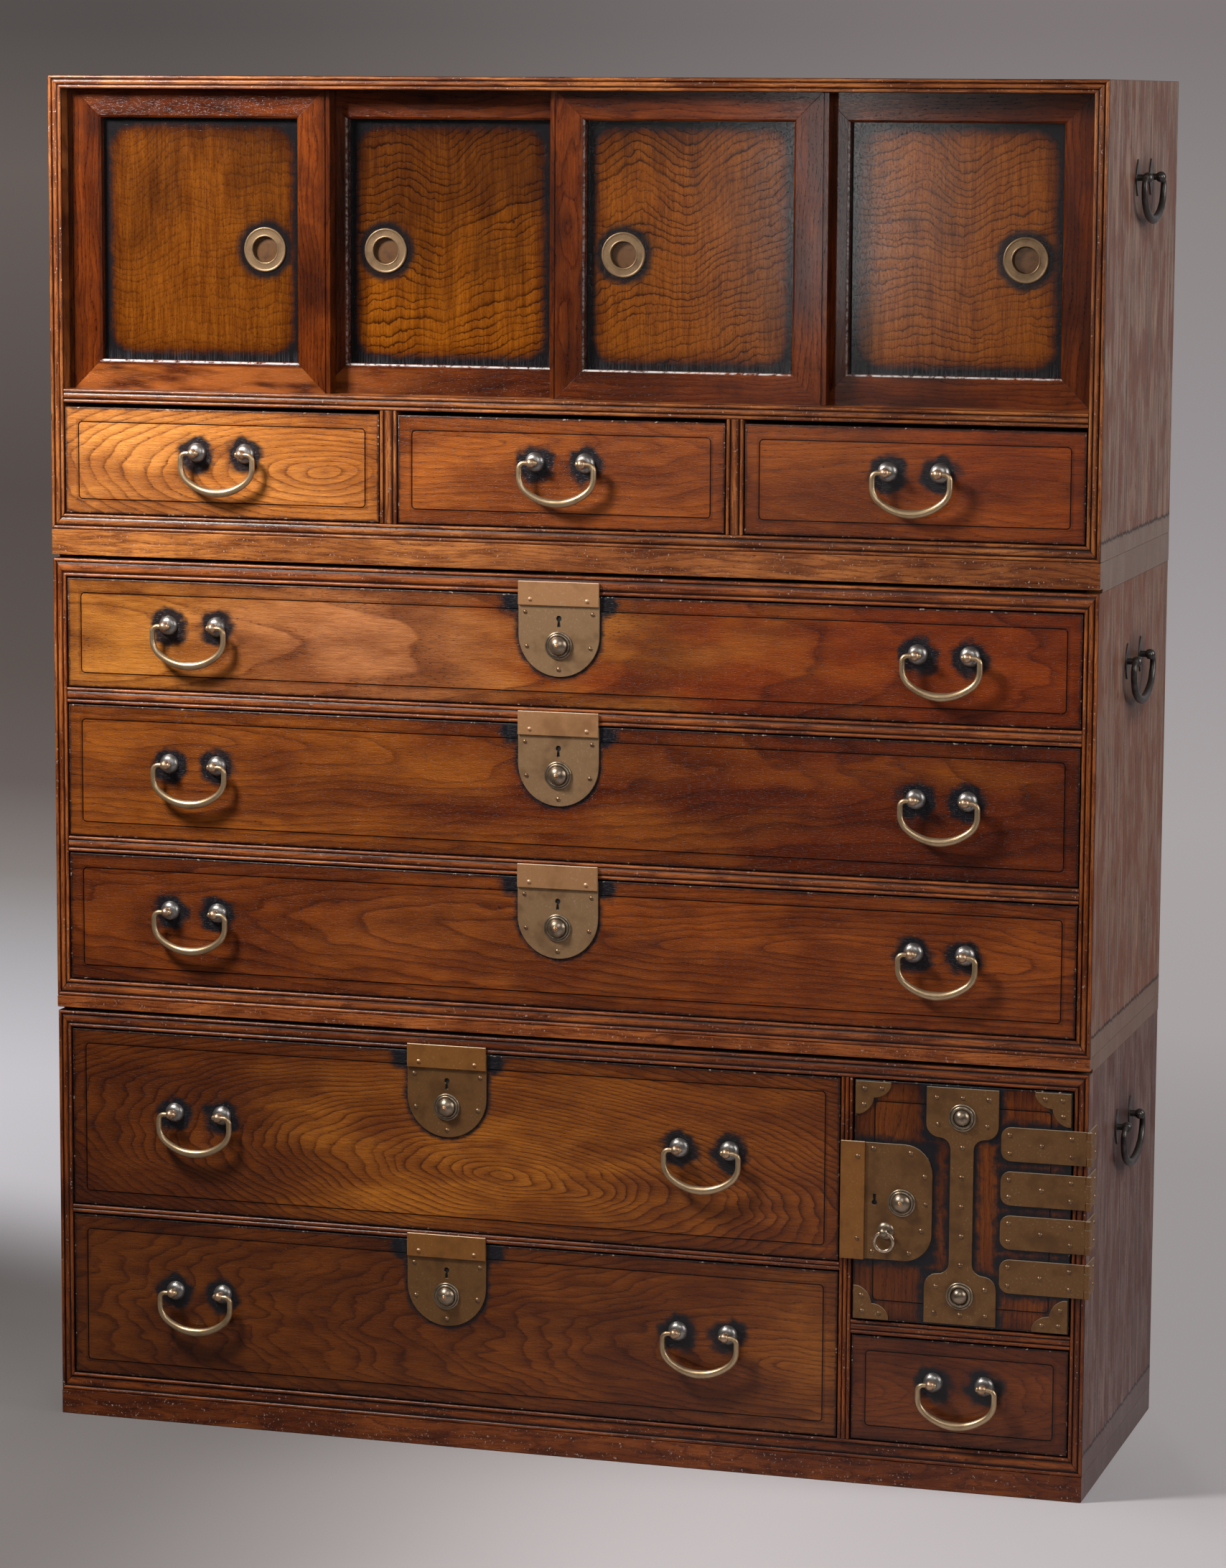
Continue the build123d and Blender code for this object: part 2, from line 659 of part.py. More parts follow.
def corner_plate(x, z, to_right, to_top):
    """A corner plate with two lobes that meet in a cusp, growing from its corner at (x, z)."""
    w, h = corner_plate_width, corner_plate_height
    cusp = (w * 0.52, h * 0.48)
    sx, sz = (1 if to_right else -1), (1 if to_top else -1)

    def at(u, v):
        return (x + sx * u, z + sz * v)

    outline = make_face([
        Line(at(0, 0), at(w, 0)),
        Line(at(w, 0), at(w, h * 0.12)),
        ThreePointArc(at(w, h * 0.12), at(w * 0.84, h * 0.36), at(*cusp)),
        ThreePointArc(at(*cusp), at(w * 0.38, h * 0.82), at(w * 0.12, h)),
        Line(at(w * 0.12, h), at(0, h)),
        Line(at(0, h), at(0, 0)),
    ])
    plate = facing(outline, safe_front - corner_plate_thickness, safe_front)
    spots = [at(w * u, h * v) for u, v in corner_rivets]
    heads = [to_front(rx, safe_front - corner_plate_thickness, rz) * rivet for rx, rz in spots]
    return [plate, *heads]


def shield_strap():
    """The vertical strap with a shield at each end, its two ringed bosses and its rivets."""
    half, waist = strap_width / 2, strap_waist / 2
    top = (safe_z1 - safe_z0) / 2 - strap_margin
    shield = top - strap_shield
    r1 = strap_shoulder_radius
    r2 = half - waist - r1
    diagonal = math.sqrt(0.5)

    def half_outline(side, end):
        """Right or left edge of one half, from the end of the strap to its waist."""
        return [
            Line((side * half, end * top), (side * half, end * shield)),
            ThreePointArc((side * half, end * shield),
                          (side * (half - r1 + r1 * diagonal), end * (shield - r1 * diagonal)),
                          (side * (half - r1), end * (shield - r1))),
            ThreePointArc((side * (half - r1), end * (shield - r1)),
                          (side * (waist + r2 - r2 * diagonal), end * (shield - r1 - r2 + r2 * diagonal)),
                          (side * waist, end * (shield - r1 - r2))),
        ]

    edges = []
    for side in (-1, 1):
        for end in (-1, 1):
            edges += half_outline(side, end)
        edges.append(Line((side * waist, -(shield - r1 - r2)), (side * waist, shield - r1 - r2)))
    edges += [Line((-half, end * top), (half, end * top)) for end in (-1, 1)]
    strap = facing(Pos(safe_middle_x, safe_middle_z) * make_face(edges), plate_face, safe_front)
    spots = [(0, step * waist_rivet_pitch) for step in (-2, -1, 0, 1, 2)]
    for end in (-1, 1):
        spots += [(right, end * (top - inset)) for right, inset in shield_rivets]
    pieces = [strap]
    pieces += [to_front(safe_middle_x + u, plate_face, safe_middle_z + v) * rivet for u, v in spots]
    boss_ring = Cylinder(boss_ring_radius, ring_washer_height, align=(Align.CENTER, Align.CENTER, Align.MIN))
    boss_ring = chamfer(boss_ring.edges().sort_by(Axis.Z)[-1], ring_washer_height * 0.6)
    boss_ring -= Cylinder(boss_radius, 4 * ring_washer_height)
    for end in (-1, 1):
        place = to_front(safe_middle_x, plate_face, safe_middle_z + end * (top - boss_inset))
        pieces += [place * boss_ring, place * dome(boss_radius, boss_radius * 0.95)]
    return pieces


def safe_lock():
    """The D-shaped lock plate, its cover bar, ring washer, ring eye and rivets."""
    right = safe_left + safe_lock_right
    z0, z1 = safe_middle_z - safe_lock_height / 2, safe_middle_z + safe_lock_height / 2
    left = safe_x0 + front_chamfer
    r = safe_lock_corner
    lean = r * (1 - math.sqrt(0.5))
    outline = make_face([
        Line((left, z0), (right - r, z0)),
        ThreePointArc((right - r, z0), (right - lean, z0 + lean), (right, z0 + r)),
        Line((right, z0 + r), (right, z1 - r)),
        ThreePointArc((right, z1 - r), (right - lean, z1 - lean), (right - r, z1)),
        Line((right - r, z1), (left, z1)),
        Line((left, z1), (left, z0)),
    ])
    plate = facing(outline, plate_face, safe_front)
    plate -= keyhole(*keyhole_place, plate_face - 1, safe_front + 1, False)
    hole = Cylinder(button_radius + button_clearance, 4 * plate_thickness)
    plate -= to_front(button_place[0], safe_front, button_place[1]) * hole
    cover_x0 = safe_left + safe_cover_left
    cover_x1 = cover_x0 + safe_cover_width
    cover = block(cover_x0, cover_x1, plate_face - cover_thickness, plate_face, z0 - 1, z1 + 1)
    cover = chamfer(cover.faces().sort_by(Axis.Y)[0].edges(), 0.6)
    washer = to_front(button_place[0], plate_face, button_place[1]) * ring_washer
    ring_spot = to_front(ring_place[0], plate_face, ring_place[1])
    eye = ring_spot * eye_post(ring_reach, post_radius, ring_eye_radius, ring_bore_radius)
    seat = dome(ring_seat_radius, ring_seat_height) - Cylinder(post_radius, 4 * ring_seat_height)
    spots = [(right - inward, z1 - down) for inward, down in safe_lock_top_rivets]
    spots += [(right - inward, z0 + up) for inward, up in safe_lock_low_rivets]
    spots.append((right - safe_lock_middle_rivet, safe_middle_z))
    pieces = [plate, cover, washer, eye, ring_spot * seat]
    pieces += [to_front(rx, plate_face, rz) * rivet for rx, rz in spots]
    inward, down, up = safe_cover_rivets
    for rz in (z1 - down, z0 + up):
        pieces.append(to_front(cover_x1 - inward, plate_face - cover_thickness, rz) * rivet)
    return pieces


def knuckle(z0, z1):
    """A hinge knuckle on the pin line."""
    return Pos(pin_x, pin_y, (z0 + z1) / 2) * Cylinder(knuckle_radius, z1 - z0)


def hinge_strap(level):
    """One moving strap: rounded plate, middle knuckle and five rivets."""
    z0, z1 = level - hinge_height / 2, level + hinge_height / 2
    tongue = hinge_height / 4
    left = pin_x - hinge_length
    clear = knuckle_radius + knuckle_gap
    r = hinge_corner
    lean = r * (1 - math.sqrt(0.5))
    shape = make_face([
        Line((pin_x - clear, z0), (left + r, z0)),
        ThreePointArc((left + r, z0), (left + lean, z0 + lean), (left, z0 + r)),
        Line((left, z0 + r), (left, z1 - r)),
        ThreePointArc((left, z1 - r), (left + lean, z1 - lean), (left + r, z1)),
        Line((left + r, z1), (pin_x - clear, z1)),
        Line((pin_x - clear, z1), (pin_x - clear, z0)),
    ])
    strap = facing(shape, safe_front - hinge_thickness, safe_front)
    strap += block(pin_x - clear - 1, pin_x, safe_front - hinge_thickness, safe_front,
                   level - tongue, level + tongue)
    bore_tool = Pos(pin_x, pin_y, level) * Cylinder(pin_radius + pin_clearance, 2 * hinge_height)
    strap = strap + knuckle(level - tongue, level + tongue) - bore_tool
    face = safe_front - hinge_thickness
    return [strap] + [to_front(left + right, face, level + up) * rivet for right, up in hinge_rivets]


def hinge_leaf_piece(level):
    """One fixed leaf on the side board with its two knuckles and the pin, and three rivets."""
    z0, z1 = level - hinge_height / 2, level + hinge_height / 2
    tongue = hinge_height / 4 + knuckle_gap
    side = lower.half_width
    clear = knuckle_radius + knuckle_gap
    leaf = block(side, side + hinge_leaf_thickness, pin_y + clear, lower.front + hinge_leaf, z0, z1)
    for low, high in ((z0, level - tongue), (level + tongue, z1)):
        leaf += block(side, side + hinge_leaf_thickness, pin_y, pin_y + clear + 1, low, high)
        leaf += knuckle(low, high)
    leaf += Pos(pin_x, pin_y, level) * Cylinder(pin_radius, hinge_height)
    face = side + hinge_leaf_thickness
    to_side = Rot(0, 90, 0)
    return [leaf] + [Pos(face, lower.front + back, level + up) * to_side * rivet for back, up in leaf_rivets]


def safe_fittings():
    """All metal that is fixed to the safe door."""
    pieces = []
    for to_right in (True, False):
        for to_top in (True, False):
            x = safe_x0 + front_chamfer if to_right else safe_x1 - front_chamfer
            z = safe_z0 + front_chamfer if to_top else safe_z1 - front_chamfer
            pieces += corner_plate(x, z, to_right, to_top)
    pieces += shield_strap() + safe_lock()
    for level in hinge_levels:
        pieces += hinge_strap(level)
    return pieces


def pull_ring():
    """The small ring that hangs in the eye of the safe lock."""
    ring = Rot(90, 0, 0) * Torus(ring_radius, ring_wire)
    x, z = ring_place
    return [Pos(x, plate_face - ring_reach, z - ring_radius) * ring]


# ---------------------------------------------------------------- carrying bails on the sides
side_bail = bail(side_bail_spacing, side_bail_half_width, side_bail_drop, side_bail_bend,
                 side_bail_straight, side_bail_side_radius,
                 (side_bail_end_radius, side_bail_shoulder_radius, side_bail_middle_radius),
                 side_bail_tip_radius, side_eye_radius)
side_post = eye_post(side_post_reach, side_post_radius, side_eye_radius,
                     side_bail_end_radius + pivot_clearance)
side_bail_levels = {
    "upper": (upper, upper.top - upper_side_bail_drop),
    "middle": (middle, middle.top - lower_side_bail_drop),
    "lower": (lower, lower.top - lower_side_bail_drop),
}


def side_place(chest, level, side):
    """Places a piece made for a front face on the left (-1) or right (+1) side board."""
    return Pos(side * chest.half_width, 0, level) * Rot(0, 0, side * 90)


def side_seat():
    """A pointed iron seat plate, standing out along -Y, with a hole for its post."""
    w, h = side_seat_width / 2, side_seat_height / 2
    outline = make_face([
        ThreePointArc((0, h), (w * 0.72, h * 0.42), (w, 0)),
        ThreePointArc((w, 0), (w * 0.72, -h * 0.42), (0, -h)),
        ThreePointArc((0, -h), (-w * 0.72, -h * 0.42), (-w, 0)),
        ThreePointArc((-w, 0), (-w * 0.72, h * 0.42), (0, h)),
    ])
    outline -= Circle(side_post_radius)
    return facing(outline, -side_seat_thickness, 0)


def side_posts():
    """Seats and eye posts of the six carrying bails."""
    pieces = []
    seat = side_seat()
    for chest, level in side_bail_levels.values():
        for side in (-1, 1):
            place = side_place(chest, level, side)
            for offset_x in (-side_bail_spacing / 2, side_bail_spacing / 2):
                pieces.append(place * (Pos(offset_x, 0, 0) * seat))
                pieces.append(place * (to_front(offset_x, 0, 0) * side_post))
    return pieces


# ---------------------------------------------------------------- carcases
def upper_carcass():
    ring, back, plinth = upper.boards()
    for y in tracks:
        room = (y - track_clearance, y + track_tongue + track_clearance)
        ring["top"] -= block(-upper.inner, upper.inner, *room, upper.ceiling, upper.ceiling + top_groove)
    sill, floor_board = upper.shelf(-upper.inner, upper.inner, sill_top - upper_sill, upper_sill, sill_depth)
    for y in tracks:
        room = (y - track_clearance, y + track_tongue + track_clearance)
        sill -= block(-upper.inner, upper.inner, *room, sill_top - sill_groove, sill_top)
    dividers = []
    for left_drawer in openings[:2]:
        x = left_drawer.x1 + drawer_side_gap
        rear = upper.back - back_thickness
        divider_top = sill_top - upper_sill
        dividers.append(reeded_upright(x, upper_divider, upper.front, sill_depth, upper.floor, divider_top))
        dividers.append(block(x, x + upper_divider, upper.front + sill_depth, rear, upper.floor,
                              sill_top - dust_board_thickness))
    return [*ring.values(), back, *plinth, sill, floor_board, *dividers]


def middle_carcass():
    ring, back, plinth = middle.boards()
    shelves = []
    z = middle.floor
    for height in middle_openings[:-1]:
        z += height
        shelves += middle.shelf(-middle.inner, middle.inner, z, middle_rail)
        z += middle_rail
    return [*ring.values(), back, *plinth, *shelves]


def lower_carcass():
    ring, back, plinth = lower.boards()
    rear = lower.back - back_thickness
    divider = reeded_upright(divider_left, lower_divider, lower.front, rear - lower.front,
                             lower.floor, lower.ceiling)
    wide_shelf = lower.shelf(-lower.inner, divider_left, lower.floor + lower_openings[0], lower_rail)
    rail_base = lower.floor + corner_drawer_opening
    safe_shelf = lower.shelf(safe_left, lower.inner, rail_base, safe_base - rail_base)
    return [*ring.values(), back, *plinth, divider, *wide_shelf, *safe_shelf]


# ---------------------------------------------------------------- nodes
def main():
    os.makedirs("parts", exist_ok=True)
    save("upper_carcass", upper_carcass())
    save("middle_carcass", middle_carcass())
    save("lower_carcass", lower_carcass())

    for index in range(door_count):
        save(f"sliding_door_{index + 1}", sliding_door(index))
        save(f"finger_pull_{index + 1}", finger_pull(index))

    for opening in openings:
        save(opening.name, drawer(opening))
        fittings = posts_for(opening)
        if opening.cover_top is not None:
            fittings += lock_for(opening)
            place = to_front(opening.middle, opening.front - plate_thickness, opening.cover_top - button_drop)
            save(f"{opening.name}_lock_button", [place * button])
        save(f"{opening.name}_fittings", fittings)
        for number, centre in enumerate(opening.bails):
            ending = "" if len(opening.bails) == 1 else ("_left", "_right")[number]
            place = Pos(centre, opening.front - post_reach, opening.bail_z)
            save(f"{opening.name}_bail{ending}", [place * drawer_bail])

    save("safe_door", safe_leaf())
    save("safe_door_fittings", safe_fittings())
    save("safe_door_lock_button", [to_front(button_place[0], plate_face, button_place[1]) * button])
    save("safe_door_ring", pull_ring())
    leaves = []
    for level in hinge_levels:
        leaves += hinge_leaf_piece(level)
    save("safe_hinge_leaves", leaves)

    save("side_bail_posts", side_posts())
    for name, (chest, level) in side_bail_levels.items():
        for side, ending in ((-1, "left"), (1, "right")):
            place = side_place(chest, level, side) * Pos(0, -side_post_reach, 0)
            save(f"{name}_side_bail_{ending}", [place * side_bail])


main()
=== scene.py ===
import json
import math

import bmesh
import bpy
from mathutils import Matrix, Vector


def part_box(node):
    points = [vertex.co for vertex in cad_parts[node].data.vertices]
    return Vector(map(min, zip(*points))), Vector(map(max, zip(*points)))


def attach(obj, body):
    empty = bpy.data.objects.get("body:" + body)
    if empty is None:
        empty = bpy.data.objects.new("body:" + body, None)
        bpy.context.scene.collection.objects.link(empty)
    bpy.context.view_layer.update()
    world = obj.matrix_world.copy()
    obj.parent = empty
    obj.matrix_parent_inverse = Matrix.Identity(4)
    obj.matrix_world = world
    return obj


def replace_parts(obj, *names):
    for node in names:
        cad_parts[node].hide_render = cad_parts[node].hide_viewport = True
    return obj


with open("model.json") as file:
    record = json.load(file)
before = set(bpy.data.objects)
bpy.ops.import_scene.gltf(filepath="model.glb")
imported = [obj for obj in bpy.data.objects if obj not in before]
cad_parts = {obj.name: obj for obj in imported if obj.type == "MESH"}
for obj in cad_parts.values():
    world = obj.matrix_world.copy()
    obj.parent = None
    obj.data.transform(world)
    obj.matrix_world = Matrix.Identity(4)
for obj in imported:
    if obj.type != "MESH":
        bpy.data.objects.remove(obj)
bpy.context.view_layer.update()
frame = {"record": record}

# Sizes are in millimetres, as the cabinet maker's drawing has them, and a finished piece is scaled to metres.
# X runs to the right, Y from the front to the back and Z up. Every front faces -Y.
MM = 0.001
BEAD = 4.4                    # width of the outer beads of the reeding
GROOVE = 1.8                  # depth of the reeding
REED_CENTRE = 0.3             # the middle bead stands back this much
PLINTH = 18.0                 # thickness of the plinth boards

# The three chests, from the top down. half and inner are the half widths outside and inside, front is the Y of the
# front, and base, board, floor, ceiling and top are heights: foot of the plinth, underside of the bottom board, its
# upper face, underside of the top board and its upper face. lift is the gap under the front board of the plinth.
CHESTS = {
    "upper": {"half": 606.0, "inner": 590.0, "front": -205.0, "base": 1003.0, "board": 1036.0,
              "floor": 1054.0, "ceiling": 1533.0, "top": 1548.0, "lift": 4.0},
    "middle": {"half": 605.4, "inner": 589.4, "front": -204.4, "base": 478.5, "board": 496.0,
               "floor": 516.0, "ceiling": 982.0, "top": 1003.0, "lift": 4.0},
    "lower": {"half": 604.8, "inner": 588.8, "front": -203.8, "base": 0.0, "board": 28.5,
              "floor": 49.5, "ceiling": 459.5, "top": 478.5, "lift": 0.0},
}
BACK = 205.0                  # Y of the carcases' back
BACK_BOARD = 8.0
DUST_BOARD = 8.0
RAIL = 45.0                   # depth of a rail between drawers
SILL = 75.0                   # depth of the sill under the sliding doors
SILL_TOP = 1196.0
SILL_THICK = 16.0
TRACKS = (-185.0, -164.0)     # fronts of the doors' tongues, outer track first
TRACK_GAP = 0.4               # play of a tongue in its groove
DIVIDER_LEFT = 327.8          # upright between the lower drawers and the safe
DIVIDER = 14.0
DOOR = {"member": 39.0, "thick": 18.0, "panel_back": 11.0, "panel": 6.5, "tongue": 8.0, "bevel": 2.5,
        "bead": 4.5, "bead_groove": 1.2}
FRONT = 20.0                  # thickness of a drawer front
SCRATCH_INSET = 14.5          # the line cut round a drawer front
SCRATCH_WIDTH = 1.3
SCRATCH_DEPTH = 1.0
SCRATCH_CORNER = 5.0

joints = {joint["name"]: joint for joint in frame["record"]["behaviour"]["joints"]}


def box_of(node):
    """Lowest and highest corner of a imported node, in millimetres."""
    low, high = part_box(node)
    return [value / MM for value in low], [value / MM for value in high]


def pivot_of(joint):
    """The point that a hinge turns about, in millimetres."""
    return [value / MM for value in joints[joint]["pos_m"]]


# ================================================================ shader expressions
class Value:
    """A node socket that carries a number, with arithmetic that adds Math nodes."""

    def __init__(self, paint, socket):
        self.paint = paint
        self.socket = socket

    def maths(self, operation, *others):
        """A Math node on this value and others."""
        return self.paint.node("ShaderNodeMath", {"operation": operation}, dict(enumerate((self, *others))))

    def reflected(self, operation, other):
        """A Math node with this value in the second place."""
        return self.paint.node("ShaderNodeMath", {"operation": operation}, {0: other, 1: self})

    def __add__(self, other):
        return self.maths("ADD", other)

    def __radd__(self, other):
        return self.reflected("ADD", other)

    def __sub__(self, other):
        return self.maths("SUBTRACT", other)

    def __rsub__(self, other):
        return self.reflected("SUBTRACT", other)

    def __mul__(self, other):
        return self.maths("MULTIPLY", other)

    def __rmul__(self, other):
        return self.reflected("MULTIPLY", other)

    def __truediv__(self, other):
        return self.maths("DIVIDE", other)

    def __rtruediv__(self, other):
        return self.reflected("DIVIDE", other)

    def __pow__(self, other):
        return self.maths("POWER", other)

    def __abs__(self):
        return self.maths("ABSOLUTE")

    def sqrt(self):
        return self.maths("SQRT")

    def fraction(self):
        return self.maths("FRACT")

    def at_least(self, other):
        return self.maths("MAXIMUM", other)

    def at_most(self, other):
        return self.maths("MINIMUM", other)

    def rise(self, low, high):
        """0 below low, 1 above high, and a smooth step between them."""
        settings = {"interpolation_type": "SMOOTHSTEP"}
        return self.paint.node("ShaderNodeMapRange", settings, {"Value": self, "From Min": low, "From Max": high})

    def fall(self, low, high):
        """1 below low, 0 above high."""
        return 1.0 - self.rise(low, high)

    def ramp(self, *stops):
        """Tones or colours by level. A stop is a place from 0 to 1 and what is there."""
        return self.paint.node("ShaderNodeValToRGB", {"stops": stops}, {"Fac": self})


class Paint:
    """One finish of the cabinet, as a node material."""

    def __init__(self, name):
        self.material = bpy.data.materials.new(name)
        self.material.use_nodes = True
        self.tree = self.material.node_tree
        self.tree.nodes.clear()

    def node(self, kind, settings=None, inputs=None, output=0):
        """Adds a node: its settings first, then the values or links of its sockets. Returns one of its outputs."""
        made = self.tree.nodes.new(kind)
        for key, value in (settings or {}).items():
            if key == "stops":
                while len(made.color_ramp.elements) < len(value):
                    made.color_ramp.elements.new(0.5)
                for element, (place, level) in zip(made.color_ramp.elements, value):
                    element.position = place
                    element.color = (level, level, level, 1.0) if isinstance(level, float) else (*level, 1.0)
            else:
                setattr(made, key, value)
        for key, value in (inputs or {}).items():
            if isinstance(value, Value):
                self.tree.links.new(value.socket, made.inputs[key])
            else:
                made.inputs[key].default_value = value
        return Value(self, made.outputs[output])

    def place(self):
        """The point being painted as X, Y and Z in millimetres."""
        spot = self.node("ShaderNodeTexCoord", output="Object")
        grown = self.node("ShaderNodeVectorMath", {"operation": "SCALE"}, {0: spot, "Scale": 1.0 / MM})
        made = self.node("ShaderNodeSeparateXYZ", inputs={0: grown})
        outputs = made.socket.node.outputs
        return [Value(self, outputs[index]) for index in range(3)]

    def noise(self, x, y, z, detail=2.0, roughness=0.5):
        """Smooth noise about 0.5, one cycle per unit."""
        spot = self.node("ShaderNodeCombineXYZ", inputs={0: x, 1: y, 2: z})
        inputs = {"Vector": spot, "Scale": 1.0, "Detail": detail, "Roughness": roughness}
        return self.node("ShaderNodeTexNoise", inputs=inputs)

    def mix(self, factor, first, second):
        """Blends two colours."""
        first, second = [(*c, 1.0) if isinstance(c, tuple) else c for c in (first, second)]
        return self.node("ShaderNodeMix", {"data_type": "RGBA"}, {0: factor, 6: first, 7: second}, output=2)

    def lighten(self, colour, amount):
        """Multiplies a colour by amount, which may be above 1."""
        return self.node("ShaderNodeVectorMath", {"operation": "MULTIPLY"}, {0: colour, 1: amount})

    def darken(self, factor, colour, amount):
        """Multiplies a colour by amount where factor is 1."""
        settings = {"data_type": "RGBA", "blend_type": "MULTIPLY"}
        colour = (*colour, 1.0) if isinstance(colour, tuple) else colour
        return self.node("ShaderNodeMix", settings, {0: factor, 6: colour, 7: (*amount, 1.0)}, output=2)

    def finish(self, colour, roughness, metallic=0.0, height=None, relief=0.3, **fixed):
        """Puts the colour, roughness and relief on a Principled shader. relief is the depth of the height's waves,
        and fixed are other sockets of the shader, by name."""
        inputs = {"Base Color": (*colour, 1.0) if isinstance(colour, tuple) else colour, "Roughness": roughness,
                  "Metallic": metallic}
        inputs.update({key.replace("_", " "): value for key, value in fixed.items()})
        if height is not None:
            bump = {"Strength": 1.0, "Distance": relief * MM, "Height": height}
            inputs["Normal"] = self.node("ShaderNodeBump", inputs=bump)
        shader = self.node("ShaderNodeBsdfPrincipled", inputs=inputs)
        self.node_output(shader)
        return self.material

    def node_output(self, shader):
        """Links a shader to the material's output."""
        made = self.tree.nodes.new("ShaderNodeOutputMaterial")
        self.tree.links.new(shader.socket, made.inputs[0])


# ================================================================ wood
# What age has left on the wood, as colours; the panels' grey film and the rubbed rails also hold painted light.
SMOKE = (0.0050, 0.0064, 0.0100)              # black stain round the drawers' iron
PANEL_SMOKE = (0.0055, 0.0058, 0.0072)        # and along the edges of the door panels
PALE_NICK = (0.50, 0.38, 0.30)                # chipped arrises of the drawer fronts
BEAD_NICK = (0.46, 0.36, 0.31)                # and of the reeding
SCUFF = (0.36, 0.24, 0.17)                    # rubbed specks on the outer sides
DOOR_DUST = (0.22, 0.15, 0.12)
PANEL_DUST_AND_SHEEN = (0.40, 0.44, 0.50)               # grey film above the bottom edge of a panel: dust, with a painted reflection
RUBBED_AND_LIT_RAIL = (0.290, 0.080, 0.015)           # lacquer worn by hands on the doors' bottom rails, with a painted sheen where the light falls at the left
# Pairs of a dark and a pale tone: bare wood, and the lacquer of the doors' frames.
BARE_FRONT = (0.190, 0.115, 0.062), (0.350, 0.230, 0.132)
BARE_TOP = (0.058, 0.031, 0.019), (0.170, 0.102, 0.066)
BARE_REAR = (0.070, 0.030, 0.016), (0.165, 0.080, 0.043)
BARE_PANEL = (0.150, 0.090, 0.048), (0.270, 0.170, 0.098)
DOOR_LACQUER = (0.060, 0.012, 0.0022), (0.145, 0.031, 0.0045)


def growth_rings(paint, u, v, w, heart, slope, ring, sway, jag, seed, tilt=0.0):
    """Growth rings of a flat-sawn board: long tilted tubes that the face cuts through. u runs along the board,
    v across its face and w into it. heart is the place where the rings close and its depth, slope and tilt are how
    fast the heart dives and drifts along the board, ring is the spacing, sway the size of the waves and jag that of
    the ragged edges. Returns the place within a ring, 0 to 1, and slow patches of tone."""
    u0, v0, depth = heart
    drift = paint.noise(u / 210.0, v / 60.0, w / 75.0 + seed, 3.0, 0.45) - 0.5
    lean = paint.noise(u / 85.0, v / 30.0, w / 34.0 + seed + 7.0, 2.0, 0.4) - 0.5
    ragged = paint.noise(u / 15.0, v / 5.0, w / 5.0 + seed + 3.0, 2.0, 0.6) - 0.5
    across = v - v0 - (u - u0) * tilt + drift * (2.2 * sway)
    deep = (u - u0) * slope + w + depth + lean * (1.1 * sway)
    radius = (across * across + deep * deep).sqrt() + ragged * (2.0 * jag)
    uneven = paint.noise(radius / 27.0, seed, 0.0, 1.0) * 2.2
    return (radius / ring + uneven).fraction(), drift


def fibres(paint, u, v, w, seed):
    """Fine streaks along the grain and short dark pores."""
    streak = paint.noise(u / 26.0, v / 1.7, w / 1.7 + seed, 4.0, 0.7)
    pore = paint.noise(u / 5.5, v / 1.1, w / 1.1 + seed, 2.0, 0.6).rise(0.53, 0.63)
    return streak, pore


def figured(paint, ring, streak, pore, tone, body, lines, patch):
    """Colour of a figured board: its body colour with rings, streaks, pores and cloudy patches."""
    level = ring.ramp((0.0, 0.0), (0.07, 0.16), (0.19, 0.56), (0.42, 0.84), (0.75, 1.0), (0.93, 0.92), (1.0, 0.05))
    colour = paint.mix(streak.rise(0.28, 0.70), paint.darken(1.0, body, (0.70, 0.60, 0.52)),
                       paint.lighten(body, (1.12, 1.14, 1.12)))
    colour = paint.mix((tone * 0.9 + patch).rise(0.24, 0.76), paint.darken(1.0, colour, (0.66, 0.56, 0.48)),
                       paint.lighten(colour, (1.28, 1.32, 1.25)))
    colour = paint.darken((1.0 - level) * lines, colour, (0.30, 0.18, 0.12))
    return paint.darken(pore * (1.25 - level) * 0.8, colour, (0.32, 0.22, 0.17)), level


def rim(x, z, low, high):
    """Distance of a point on a front from the front's nearest edge."""
    near_x = (x - low[0]).at_most(high[0] - x)
    near_z = (z - low[2]).at_most(high[2] - z)
    return near_x.at_most(near_z)


def spot_distance(x, z, cx, cz, stretch=1.0):
    """Distance from a point on a front."""
    across, up = x - cx, (z - cz) * stretch
    return (across * across + up * up).sqrt()


def plate_stain(x, z, box, ragged, reach):
    """Black stain round an iron plate: 1 beside it, fading out over a reach, with a ragged edge."""
    x0, z0, x1, z1 = box
    out_x = (x0 - x).at_least(x - x1).at_least(0.0)
    out_z = (z0 - z).at_least(z - z1).at_least(0.0)
    away = (out_x * out_x + out_z * out_z).sqrt()
    return (away + (ragged - 0.5) * (1.6 * reach)).fall(0.1 * reach, reach)


